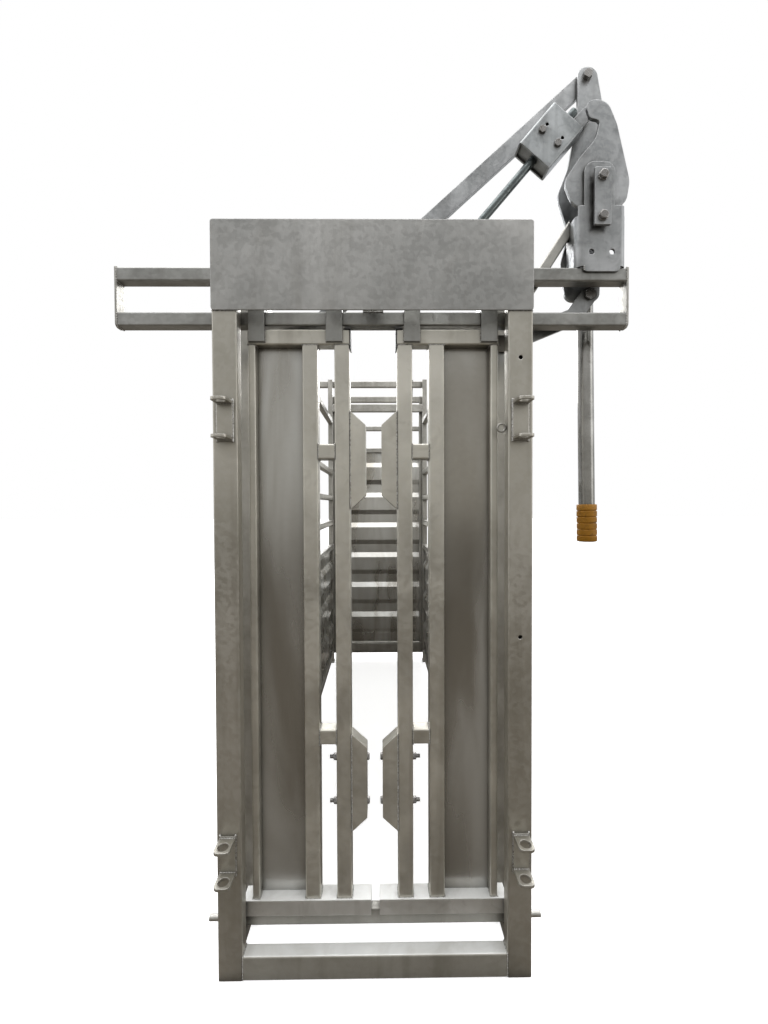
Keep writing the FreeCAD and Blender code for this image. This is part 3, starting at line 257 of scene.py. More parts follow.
@dataclass(frozen=True)
class Galvanised:
    """Hot-dip zinc on steel: spangle, clouds, run marks, lighter edges that are partly rubbed wear
    and partly a painted highlight, painted shade in corners, and optionally a painted highlight on
    upward faces.
    """

    name: str
    light: Colour
    dark: Colour
    stain: Colour
    spangle: float = 95.0
    cloud: float = 5.0
    rough: tuple[float, float] = (0.30, 0.46)
    stain_share: float = 0.25
    relief: float = 0.0005
    metallic: float = 0.88
    along: Point | None = None
    sway: float = 0.0
    # Strength of the painted shade in corners and gaps.
    corner_shade: float = 0.75
    # Strength of the lighter edges: partly rubbed wear, partly a painted highlight.
    wear_and_glint: float = 0.18
    # Strength of the painted highlight on upward faces.
    lit_top: float = 0.0
    run_stretch: Point = (16.0, 16.0, 1.3)
    grain_scale: float = 420.0
    patch_to_cloud: float = 2.7
    spangle_share: float = 0.07
    edge_reach: float = 0.003
    # Reach of the painted shade in corners and gaps.
    shade_reach: float = 0.045
    spangle_tint: Colour = (0.95, 0.95, 0.96)
    # Colour of the lighter edges: partly rubbed wear, partly a painted highlight.
    wear_and_glint_colour: Colour = (0.85, 0.845, 0.83)
    # Colour of the painted shade in corners and gaps.
    shade_and_dirt: Colour = (0.085, 0.08, 0.07)
    # Colour of the painted highlight on upward faces.
    top_highlight: Colour = (0.92, 0.93, 0.92)

    def colour(self, bench: Bench, cloud: Socket, cells: Socket,
               patch: Socket, wear_and_glint: Socket) -> Socket:
        """Zinc's colour before the painted highlight on top.

        Args:
            bench: Material under construction.
            cloud: Broad clouds.
            cells: Grey of each crystal.
            patch: Small patches.
            wear_and_glint: Mask of the edges.

        Returns:
            The colour's socket.
        """
        share = self.spangle_share * (1.0 - 0.6 * self.sway)
        base = bench.blend(bench.mask(cloud, 0.32, 0.68), self.dark, self.light)
        tone = bench.times(bench.ranged(cells, (0.0, 1.0), (0.0, 1.0)), share)
        base = bench.blend(tone, base, self.spangle_tint, "SCREEN")
        runs = bench.noise(1.0, 5.0, 0.3, self.run_stretch)
        marks = bench.mask(runs, 0.50, 0.72)
        base = bench.blend(bench.times(marks, self.stain_share), base, self.stain)
        spots = bench.mask(patch, 0.56, 0.72)
        base = bench.blend(bench.times(spots, self.stain_share * 0.6), base, self.stain)
        # Lighter edges: partly rubbed wear, partly a painted highlight.
        base = bench.blend(bench.times(wear_and_glint, self.wear_and_glint), base, self.wear_and_glint_colour)
        # Painted shade: corners and gaps darkened by an ambient-occlusion mask.
        corners = bench.times(bench.shade_in_recesses(self.shade_reach), self.corner_shade)
        return bench.blend(corners, base, self.shade_and_dirt)

    def material(self) -> Material:
        """Build the finish as a node material."""
        bench = Bench(self.name)
        cloud = bench.noise(self.cloud, 3.0 if self.along else 5.0, 0.6, self.along)
        cells = bench.spangle(self.spangle)
        patch = bench.noise(self.cloud * self.patch_to_cloud, 5.0, 1.2)
        grain = bench.noise(self.grain_scale, 2.0)
        wear_and_glint, normal = bench.edges(self.edge_reach)
        base = self.colour(bench, cloud, cells, patch, wear_and_glint)
        # Painted highlight: upward faces are lightened in patches and made less metallic, so the
        # overhead lamp lights them.
        if self.lit_top:
            top = bench.upward()
            top_highlight = bench.ranged(patch, (0.30, 0.70), (1.0, 0.6))
            top_highlight = bench.times(top, bench.times(top_highlight, self.lit_top))
            base = bench.blend(top_highlight, base, self.top_highlight)
            metal = bench.ranged(top, (0.0, 1.0), (self.metallic, 0.15))
            bench.link(metal, bench.shader.inputs["Metallic"])
        else:
            bench.shader.inputs["Metallic"].default_value = self.metallic
        bench.link(base, bench.shader.inputs["Base Color"])
        mixed = bench.math("ADD", bench.times(cloud, 0.6 + 0.4 * self.sway),
                           bench.times(cells, 0.4 * (1.0 - self.sway)))
        bench.link(bench.ranged(mixed, (0.25, 0.75), self.rough), bench.shader.inputs["Roughness"])
        still = 1.0 - self.sway
        height = bench.math("ADD", bench.times(grain, 0.2 * still),
                            bench.times(patch, 0.5 * still))
        height = bench.math("ADD", height, bench.times(cells, 0.08 * still))
        if self.sway:
            height = bench.math("ADD", height, bench.times(cloud, self.sway))
        bench.bump(height, self.relief, normal)
        return bench.material


@dataclass(frozen=True)
class Even:
    """Even finish with spots, a fine grain and lighter edges, partly rubbed wear and partly a
    painted highlight; as it stands, bright zinc plate.
    """

    name: str
    colour: Colour
    spot: Colour
    rough: tuple[float, float]
    wear_and_glint_colour: Colour = (0.85, 0.85, 0.85)
    metallic: float = 0.95
    spots: tuple[float, float, float] = (60.0, 5.0, 0.8)
    spot_range: tuple[float, float] = (0.48, 0.68)
    spot_share: float = 0.8
    grain: tuple[float, float] = (700.0, 2.0)
    edge_reach: float = 0.0012
    relief: float = 0.00015
    rough_by_grain: bool = False

    def material(self) -> Material:
        """Build the finish as a node material."""
        bench = Bench(self.name)
        spots = bench.noise(*self.spots)
        grain = bench.noise(*self.grain)
        wear_and_glint, normal = bench.edges(self.edge_reach)
        share = bench.ranged(spots, self.spot_range, (0.0, self.spot_share))
        base = bench.blend(share, self.colour, self.spot)
        # Lighter edges: partly rubbed wear, partly a painted highlight.
        base = bench.blend(bench.times(wear_and_glint, 0.5), base, self.wear_and_glint_colour)
        rough = bench.ranged(grain if self.rough_by_grain else spots, (0.3, 0.7), self.rough)
        bench.link(base, bench.shader.inputs["Base Color"],
                   rough, bench.shader.inputs["Roughness"])
        bench.shader.inputs["Metallic"].default_value = self.metallic
        bench.bump(grain, self.relief, normal)
        return bench.material


def moulded(name: str, colour: Colour, shade_and_dirt: Colour) -> Even:
    """Moulded rubber or plastic with a fine grain, dirt spots, and lighter edges that are partly
    scuffs and partly a painted highlight.
    """
    return Even(name, colour, shade_and_dirt, (0.42, 0.62), tuple(min(1.0, c * 1.25) for c in colour), 0.0,
                (55.0, 6.0, 0.7), (0.52, 0.75), 0.7, (900.0, 3.0), 0.0015, 0.0002, True)


class Finishes:
    """Every finish of the crush, made once."""

    def __init__(self) -> None:
        """Build the materials."""
        self.tube = Galvanised(
            "galvanised_tube", (0.80, 0.775, 0.70), (0.60, 0.58, 0.52), (0.36, 0.335, 0.28),
            stain_share=0.35).material()
        self.post = Galvanised(
            "galvanised_post", (0.60, 0.575, 0.515), (0.47, 0.45, 0.395), (0.31, 0.285, 0.235),
            cloud=2.2, stain_share=0.35, wear_and_glint=0.4).material()
        self.header = Galvanised(
            "galvanised_header", (0.52, 0.515, 0.50), (0.34, 0.34, 0.33), (0.27, 0.26, 0.24),
            cloud=2.6, rough=(0.30, 0.48), stain_share=0.35).material()
        self.sheet = Galvanised(
            "galvanised_sheet", (0.70, 0.70, 0.68), (0.38, 0.36, 0.32), (0.26, 0.245, 0.21),
            cloud=1.0, along=(5.0, 5.0, 1.1), rough=(0.20, 0.36), relief=0.006, sway=1.0,
            stain_share=0.12, corner_shade=0.6).material()
        self.lever = Galvanised(
            "lever_plate", (0.48, 0.49, 0.50), (0.31, 0.32, 0.325), (0.17, 0.17, 0.17),
            spangle=120.0, cloud=9.0, rough=(0.30, 0.48), stain_share=0.5, corner_shade=0.9).material()
        self.casing = Galvanised(
            "lock_casing", (0.44, 0.46, 0.47), (0.30, 0.315, 0.32), (0.14, 0.14, 0.14),
            spangle=130.0, cloud=14.0, rough=(0.3, 0.48), stain_share=0.5, corner_shade=0.9).material()
        self.pipe = Galvanised(
            "handle_pipe", (0.46, 0.455, 0.44), (0.28, 0.275, 0.26), (0.17, 0.16, 0.14),
            spangle=60.0, cloud=9.0, rough=(0.14, 0.26), stain_share=0.4,
            relief=0.00025).material()
        self.race = Galvanised(
            "race_tube", (0.54, 0.53, 0.495), (0.40, 0.39, 0.36), (0.26, 0.245, 0.21),
            stain_share=0.35).material()
        # Darker copy of the zinc for the hanging rail, upper wing tube and hooks: painted shade,
        # standing in for the shade under the header.
        self.rail = Galvanised(
            "outer_rail", (0.42, 0.42, 0.405), (0.29, 0.29, 0.275), (0.22, 0.21, 0.19),
            cloud=7.0, stain_share=0.4).material()
        # Shoe and sill: a painted highlight on their upward faces, and strong lighter edges that
        # are partly wear and partly a painted highlight.
        self.shoe = Galvanised(
            "shoe_bright_top", (0.88, 0.87, 0.85), (0.70, 0.69, 0.66), (0.40, 0.38, 0.34),
            cloud=7.0, rough=(0.32, 0.46), metallic=0.8, stain_share=0.3, relief=0.0001,
            corner_shade=0.4, wear_and_glint=0.9, lit_top=0.9).material()
        self.sill = Galvanised(
            "sill_bright_top", (0.60, 0.585, 0.53), (0.46, 0.44, 0.39), (0.30, 0.28, 0.23),
            cloud=3.0, rough=(0.32, 0.46), metallic=0.65, stain_share=0.35, relief=0.0001,
            corner_shade=0.25, wear_and_glint=0.9, lit_top=0.9).material()
        self.weld = Galvanised(
            "weld", (0.66, 0.65, 0.63), (0.46, 0.45, 0.42), (0.28, 0.26, 0.22), spangle=300.0,
            cloud=60.0, rough=(0.22, 0.36), relief=0.0003, corner_shade=0.35).material()
        self.rod = Even(
            "zinc_rod", (0.15, 0.17, 0.17), (0.08, 0.09, 0.095), (0.24, 0.38)).material()
        self.bolt = Even(
            "zinc_bolt", (0.30, 0.29, 0.28), (0.12, 0.11, 0.10), (0.22, 0.38)).material()
        self.grip = moulded("yellow_grip", (0.40, 0.175, 0.004), (0.17, 0.08, 0.006)).material()
        self.cap = moulded("black_cap", (0.02, 0.02, 0.02), (0.07, 0.065, 0.06)).material()


@dataclass
class Coatings:
    """Which finish goes on which CAD node."""

    finishes: Finishes
    posts: tuple[str, ...] = ("left_post", "right_post", "left_gate_lugs", "right_gate_lugs")
    gate: tuple[str, ...] = (
        "left_leaf_frame", "right_leaf_frame", "left_neck_pads", "right_neck_pads")
    sheets: tuple[str, ...] = (
        "left_leaf_sheet", "right_leaf_sheet", "race_side_sheets", "door_sheet")
    plates: tuple[str, ...] = (
        "lever_front_plate", "lever_rear_plate", "lever_bracket", "bracket_strap",
        "right_link_bar", "left_link_bar", "lock_lug", "lever_spacers")
    bolts: tuple[str, ...] = (
        "pivot_bolt", "strap_fasteners", "lock_bolts", "left_pad_bolts", "right_pad_bolts",
        "lever_pins", "left_leaf_pin", "lock_jaws", "rod_anchor")
    rails: tuple[str, ...] = (
        "hanging_rail", "upper_wing_tube", "left_leaf_hooks", "right_leaf_hooks")
    shoes: tuple[str, ...] = ("left_leaf_shoe", "right_leaf_shoe")
    casing: tuple[str, ...] = ("lock_casing", "lock_end_plates")

    def apply(self) -> None:
        """Put a finish on every CAD node's material slots; the race's finish is the usual one."""
        coat = self.finishes
        chosen = {name: coat.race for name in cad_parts}
        groups = (
            (self.posts, coat.post), (self.gate, coat.tube), (self.sheets, coat.sheet),
            (self.plates, coat.lever), (self.bolts, coat.bolt), (self.rails, coat.rail),
            (self.shoes, coat.shoe), (self.casing, coat.casing), (("header_plate",), coat.header),
            (("front_sill",), coat.sill), (("lock_rod",), coat.rod),
            (("handle_tube",), coat.pipe), (("handle_grip",), coat.grip))
        for names, finish in groups:
            for name in names:
                chosen[name] = finish
        for name, finish in chosen.items():
            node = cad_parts[name]
            if not node.material_slots:
                node.data.materials.append(finish)
            for place in node.material_slots:
                place.material = finish
        LOG.info("coated %d CAD nodes", len(chosen))


def settle(piece: bpy.types.Object, body: Body, slot: Slot, *nodes: str) -> None:
    """Hand a finished piece to the frame.

    Args:
        piece: Mesh object at the origin.
        body: Body it moves with.
        slot: Material slot of its finish; not used.
        *nodes: CAD nodes it stands for.
    """
    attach(piece, body.value)
    if nodes:
        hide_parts(*nodes)
    LOG.info("%s: %d faces on %s", piece.name, len(piece.data.polygons), body.value)


def skin(shape: Shape, rows: list[list[bmesh.types.BMVert]]) -> None:
    """Close a stack of rings with side faces and two ends."""
    count = len(rows[0])
    for lower, upper in zip(rows, rows[1:]):
        for k in range(count):
            after = (k + 1) % count
            shape.faces.new((lower[k], lower[after], upper[after], upper[k]))
    shape.faces.new(rows[0][::-1])
    shape.faces.new(rows[-1])


def lathe(shape: Shape, start: Vector, along: Vector,
          profile: list[tuple[float, float]], sides: int) -> None:
    """Add a solid of revolution.

    Args:
        shape: Mesh to add to.
        start: Where its axis starts.
        along: Unit vector of its axis.
        profile: Distances along the axis, each with its radius.
        sides: Points in a ring.
    """
    side = along.orthogonal().normalized()
    other = along.cross(side)
    spokes = [side * math.cos(math.tau * k / sides) + other * math.sin(math.tau * k / sides)
              for k in range(sides)]
    skin(shape, [[shape.verts.new(start + along * at + spoke * radius) for spoke in spokes]
                 for at, radius in profile])


def mesh_piece(name: str, shape: Shape, finish: Material,
               smooth: float = 0.0) -> bpy.types.Object:
    """Turn a bmesh into an object.

    Args:
        name: Name of the piece.
        shape: Mesh, which is freed.
        finish: Material of the whole piece.
        smooth: Largest angle, in degrees, that is shaded smooth; 0 leaves it faceted.

    Returns:
        The object, linked to the scene.
    """
    bmesh.ops.recalc_face_normals(shape, faces=shape.faces[:])
    mesh = bpy.data.meshes.new(name)
    shape.to_mesh(mesh)
    shape.free()
    mesh.materials.append(finish)
    if smooth:
        mesh.shade_smooth()
        mesh.set_sharp_from_angle(angle=math.radians(smooth))
    piece = bpy.data.objects.new(name, mesh)
    bpy.context.scene.collection.objects.link(piece)
    return piece


class GeometryTree(Wiring):
    """Geometry Nodes tree under construction, with named inputs."""

    def __init__(self, name: str, sizes: dict[str, float]) -> None:
        """Start a tree with geometry in and out, and one float input for each size."""
        super().__init__(bpy.data.node_groups.new(name, "GeometryNodeTree"))
        face = self.tree.interface
        face.new_socket("Geometry", in_out="INPUT", socket_type="NodeSocketGeometry")
        face.new_socket("Geometry", in_out="OUTPUT", socket_type="NodeSocketGeometry")
        self.sockets = {}
        for label, value in sizes.items():
            socket = face.new_socket(label, in_out="INPUT", socket_type="NodeSocketFloat")
            socket.default_value = value
            self.sockets[label] = socket.identifier
        for label, kind in (("Template", "NodeSocketObject"), ("Finish", "NodeSocketMaterial")):
            socket = face.new_socket(label, in_out="INPUT", socket_type=kind)
            self.sockets[label] = socket.identifier
        self.entry = self.tree.nodes.new("NodeGroupInput")
        self.exit = self.tree.nodes.new("NodeGroupOutput")

    def attribute(self, name: str, kind: str) -> Socket:
        """Value that the points carry under that name."""
        node = self.add("GeometryNodeInputNamedAttribute", {"Name": name}, data_type=kind)
        return node.outputs["Attribute"]

    def close(self, geometry: Socket, smooth: bool) -> None:
        """End the tree: realise the instances, set the shading and the material."""
        real = self.add("GeometryNodeRealizeInstances")
        shade = self.add("GeometryNodeSetShadeSmooth", {"Shade Smooth": smooth})
        coat = self.add("GeometryNodeSetMaterial")
        self.link(geometry, real.inputs["Geometry"],
                  real.outputs["Geometry"], shade.inputs["Geometry"],
                  shade.outputs["Geometry"], coat.inputs["Geometry"],
                  self.entry.outputs["Finish"], coat.inputs["Material"],
                  coat.outputs["Geometry"], self.exit.inputs["Geometry"])

    def bake(self, name: str, points: bpy.types.Mesh, finish: Material,
             template: bpy.types.Object | None = None, **sizes: float) -> bpy.types.Object:
        """Run the tree on a mesh and keep the result as a plain object.

        Args:
            name: Name of the piece.
            points: Mesh whose points and edges the tree works from.
            finish: Material of the result.
            template: Object that is repeated, where the tree repeats one.
            **sizes: Values for the named inputs.

        Returns:
            The piece, at the origin, with no modifier.
        """
        carrier = bpy.data.objects.new(name + "_carrier", points)
        bpy.context.scene.collection.objects.link(carrier)
        modifier = carrier.modifiers.new("build", "NODES")
        modifier.node_group = self.tree
        modifier[self.sockets["Finish"]] = finish
        if template is not None:
            modifier[self.sockets["Template"]] = template
        for label, value in sizes.items():
            modifier[self.sockets[label]] = value
        graph = bpy.context.evaluated_depsgraph_get()
        mesh = bpy.data.meshes.new_from_object(carrier.evaluated_get(graph), depsgraph=graph)
        mesh.name = name
        bpy.data.objects.remove(carrier)
        piece = bpy.data.objects.new(name, mesh)
        bpy.context.scene.collection.objects.link(piece)
        return piece


@dataclass(frozen=True)
class Seam:
    """One run of weld: a start, an end and the bead's radius."""

    start: Point
    end: Point
    bead: float = 0.0028


@dataclass
class WeldSeams:
    """Rippled weld beads along the joints of the steel pieces."""

    finish: Material
    pitch: float = 0.0042
    unevenness: float = 0.16
    ripple_sides: int = 7
    ripple_rings: int = 5
    size_seed: int = 11
    turn_seed: int = 5
    tree: GeometryTree = field(init=False)

    def __post_init__(self) -> None:
        """Build the tree that lays overlapping ripples along a line."""
        build = GeometryTree("weld_ripples", {"Pitch": self.pitch, "Unevenness": self.unevenness})
        lines = build.add("GeometryNodeMeshToCurve")
        spaced = build.add("GeometryNodeResampleCurve", mode="LENGTH")
        ripple = build.add("GeometryNodeMeshUVSphere", {
            "Segments": self.ripple_sides, "Rings": self.ripple_rings, "Radius": 1.0})
        lay = build.add("GeometryNodeInstanceOnPoints")
        vary = build.add("FunctionNodeRandomValue", {"Seed": self.size_seed}, data_type="FLOAT")
        turn = build.add("FunctionNodeRandomValue", {"Seed": self.turn_seed},
                         data_type="FLOAT_VECTOR")
        turn.inputs["Max"].default_value = (math.tau, math.tau, math.tau)
        low = build.add("ShaderNodeMath", {0: 1.0}, operation="SUBTRACT")
        size = build.add("ShaderNodeMath", operation="MULTIPLY")
        build.link(build.entry.outputs["Geometry"], lines.inputs["Mesh"],
                   lines.outputs["Curve"], spaced.inputs["Curve"],
                   build.entry.outputs["Pitch"], spaced.inputs["Length"],
                   build.entry.outputs["Unevenness"], low.inputs[1],
                   low.outputs["Value"], vary.inputs[2],
                   build.attribute("bead", "FLOAT"), size.inputs[0],
                   vary.outputs[1], size.inputs[1],
                   spaced.outputs["Curve"], lay.inputs["Points"],
                   ripple.outputs["Mesh"], lay.inputs["Instance"],
                   turn.outputs[0], lay.inputs["Rotation"],
                   size.outputs["Value"], lay.inputs["Scale"])
        build.close(lay.outputs["Instances"], True)
        self.tree = build

    def lay(self, name: str, body: Body, seams: list[Seam]) -> None:
        """Lay the seams of one body as one piece."""
        mesh = bpy.data.meshes.new(name + "_lines")
        corners = [point for seam in seams for point in (seam.start, seam.end)]
        mesh.from_pydata(corners, [(2 * i, 2 * i + 1) for i in range(len(seams))], [])
        beads = mesh.attributes.new("bead", "FLOAT", "POINT")
        beads.data.foreach_set("value", [seam.bead for seam in seams for _ in range(2)])
        settle(self.tree.bake(name, mesh, self.finish), body, Slot.TUBE)


@dataclass
class FrameWelds:
    """Where the fixed steelwork is welded."""

    welds: WeldSeams
    fine: float = 0.0018
    small: float = 0.0022
    plain: float = 0.0026
    stout: float = 0.0030
    heavy: float = 0.0040
    tube: float = 0.040
    lug_half: float = 0.022
    upper_lug_plate: float = 0.116
    lower_lug_plate: float = 0.114
    rail_bottoms: tuple[float, ...] = (1.190, 1.400, 1.620, 0.980, 0.060)
    rear_tie: tuple[float, float] = (2.160, 2.225)
    block_half: float = 0.028
    bracket_seam: tuple[float, float] = (0.052, 0.075)
    tab_seam: tuple[float, float] = (2.045, 2.056)

    def lugs(self, side: float, node: str) -> list[Seam]:
        """Gate lugs on their base plates, and the plates on the post."""
        low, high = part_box(node)
        near, far = sorted((abs(low.x), abs(high.x)))
        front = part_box("front_sill")[0].y - 0.001
        plate = front - 0.0055
        seams = []
        for middle, bottom, top in (
                (near + self.lug_half, high.z - self.upper_lug_plate, high.z),
                (far - self.lug_half, low.z, low.z + self.lower_lug_plate)):
            centre = side * middle
            for edge in (-self.lug_half, self.lug_half):
                seams.append(Seam((centre + edge, front, bottom), (centre + edge, front, top),
                                  self.heavy))
            for height in (bottom + 0.004, bottom + 0.012, top - 0.012, top - 0.004):
                seams.append(Seam((centre - 0.020, plate, height),
                                  (centre + 0.020, plate, height), 0.0024))
        return seams

    def portal(self) -> list[Seam]:
        """Header, sill and hinge lugs."""
        seams = []
        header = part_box("header_plate")[0].z - 0.001
        sill_low, sill_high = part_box("front_sill")
        front, top = sill_low.y, sill_high.z
        for side in (-1.0, 1.0):
            inner = side * sill_high.x
            outer = inner + side * 0.068
            seams += [Seam((inner, front, header), (outer, front, header), self.fine),
                      Seam((inner, front, 0.004), (inner, front, top), self.small),
                      Seam((inner, -0.017, top), (inner, 0.017, top), self.stout)]
        for side, node in ((-1.0, "left_gate_lugs"), (1.0, "right_gate_lugs")):
            seams += self.lugs(side, node)
        return seams

    def wings(self) -> list[Seam]:
        """Wing tubes, their end plates and blocks, and the lever's bracket."""
        seams = []
        lower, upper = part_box("hanging_rail"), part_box("upper_wing_tube")
        for low, high in (lower, upper):
            for x in (low.x, high.x):
                seams += [Seam((x, low.y, low.z + 0.004), (x, low.y, high.z - 0.004), self.plain),
                          Seam((x, low.y + 0.004, high.z), (x, high.y - 0.004, high.z), self.plain),
                          Seam((x, low.y + 0.004, low.z), (x, high.y - 0.004, low.z), self.plain)]
        front = lower[0].y
        for z in (lower[1].z, upper[0].z):
            seams.append(Seam((-self.block_half, front, z), (self.block_half, front, z),
                              self.plain))
        bracket_low, bracket_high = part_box("lever_bracket")
        y_from, y_to = self.bracket_seam
        for x in (bracket_low.x, bracket_high.x):
            seams.append(Seam((x, y_from, upper[1].z), (x, y_to, upper[1].z), 0.0034))
        x, y = bracket_low.x + 0.022, bracket_low.y - 0.0005
        z_from, z_to = self.tab_seam
        seams.append(Seam((x, y, z_from), (x, y, z_to), self.small))
        return seams

    def race(self) -> list[Seam]:
        """Side rails, stringers, ties, track and posts of the race."""
        seams = []
        front_low, front_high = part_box("race_posts")
        rear_low, rear_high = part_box("rear_posts")
        faces = (front_low.y, front_low.y + self.tube, front_high.y - self.tube, front_high.y,
                 rear_low.y, rear_high.y)
        foot, stringer = front_low.z, front_high.z
        for side in (-1.0, 1.0):
            inner, outer = side * (rear_high.x - self.tube), side * rear_high.x
            near, far = inner + side * 0.002, outer - side * 0.002
            for y in faces[1:5]:
                for low in self.rail_bottoms:
                    high = low + self.tube
                    seams += [Seam((inner, y, low), (inner, y, high), self.plain),
                              Seam((outer, y, low), (outer, y, high), self.plain),
                              Seam((near, y, high), (far, y, high), self.plain)]
            for y in faces[:5]:
                seams.append(Seam((near, y, stringer), (far, y, stringer), self.plain))
            for y in faces:
                seams.append(Seam((near, y, foot), (far, y, foot), self.stout))
            ends = [(y, stringer, stringer + self.tube) for y in faces[:2]]
            for y, low, high in ends + [(rear_low.y, *self.rear_tie)]:
                seams.append(Seam((inner, y, low), (inner, y, high), self.plain))
        return seams

    def build(self) -> None:
        """Lay every seam of the frame."""
        self.welds.lay("frame_welds", Body.FRAME, self.portal() + self.wings())
        self.welds.lay("race_welds", Body.FRAME, self.race())


@dataclass
class Leaf:
    """Small pieces of one head gate leaf."""

    side: float
    welds: WeldSeams
    finishes: Finishes
    tube: float = 0.045
    stile: float = 0.022
    bar_gap: float = 0.049
    ties: tuple[float, ...] = (0.650, 1.496)
    upper_pad: float = 0.290
    lower_pad: float = 0.294
    hook: float = 0.047
    buffer_wall: float = 0.003
    buffer_drop: float = 0.010
    buffer_lap: float = 0.016

    @property
    def name(self) -> str:
        """Name of the leaf's body."""
        return "left_leaf" if self.side < 0 else "right_leaf"

    def reach(self, node: str) -> tuple[float, float]:
        """How near the middle, and how far from it, one of the leaf's nodes lies."""
        low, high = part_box(node)
        return tuple(sorted((abs(low.x), abs(high.x))))

    def upright(self, x: float, y: float, low: float, high: float, bead: float) -> Seam:
        """Seam that stands up, at a distance from the middle."""
        return Seam((self.side * x, y, low), (self.side * x, y, high), bead)

    def seams(self) -> None:
        """Beads where bars, ties, pads and hooks are welded."""
        seams = []
        low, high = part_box(self.name + "_frame")
        front, back, shoe_top, bar_top = low.y, high.y, low.z, high.z
        bar_low = bar_top - self.tube
        inner, outer = self.reach(self.name + "_frame")
        bar = inner + self.tube
        second = bar + self.bar_gap
        for far, near in ((outer, outer - self.stile), (second + self.tube, second), (bar, inner)):
            for y in (front, back):
                for z in (bar_low, shoe_top):
                    seams.append(Seam((self.side * far, y, z), (self.side * near, y, z), 0.0020))
            for z in (bar_low, shoe_top):
                for x in (far, near):
                    seams.append(Seam((self.side * x, front + 0.004, z),
                                      (self.side * x, back - 0.004, z)))
        for z in self.ties:
            for x in (second, bar):
                for level in (z, z + self.tube):
                    seams.append(Seam((self.side * x, front + 0.004, level),
                                      (self.side * x, back - 0.004, level), 0.0032))
                seams.append(self.upright(x, front, z, z + self.tube, 0.0020))
        pads_low, pads_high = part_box(self.name.split("_")[0] + "_neck_pads")
        for bottom, top in ((pads_high.z - self.upper_pad, pads_high.z),
                            (pads_low.z, pads_low.z + self.lower_pad)):
            for y in (front, back):
                seams.append(self.upright(inner - 0.0005, y, bottom + 0.004, top - 0.004, 0.0022))
        hooks_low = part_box(self.name + "_hooks")[0].z + 0.001
        near, far = self.reach(self.name + "_hooks")
        for x in (far, far - self.hook, near + self.hook, near):
            seams.append(self.upright(x, front - 0.001, hooks_low, bar_top - 0.003, 0.0024))
        self.welds.lay(self.name + "_welds", Body(self.name), seams)

    def buffer(self) -> None:
        """Rubber buffer folded over the inner end of the top bar."""
        low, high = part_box(self.name + "_frame")
        top, bottom = high.z, high.z - self.tube - self.buffer_drop
        end = self.reach(self.name + "_frame")[0]
        face, lap, cover = end - self.buffer_wall, end + self.buffer_lap, top + self.buffer_wall
        outline = [(end, bottom), (face, bottom), (face, cover), (lap, cover), (lap, top),
                   (end, top)]
        shape = bmesh.new()
        skin(shape, [[shape.verts.new((self.side * x, y, z)) for x, z in outline]
                     for y in (low.y - 0.001, high.y - 0.001)])
        bmesh.ops.bevel(shape, geom=shape.edges[:], offset=0.0008, segments=2, affect="EDGES")
        piece = mesh_piece(self.name + "_buffer", shape, self.finishes.cap)
        settle(piece, Body(self.name), Slot.GRIP)

    def build(self) -> None:
        """Build the leaf's small pieces."""
        self.seams()
        self.buffer()


@dataclass(frozen=True)
class Hex:
    """One hexagon head or nut on its washer: where it sits, which way it grows and its size."""

    place: Point
    axis: Point
    span: float
    height: float


@dataclass(frozen=True)
class Shank:
    """One round bar: its two ends and its diameter."""

    start: Point
    end: Point
    diameter: float


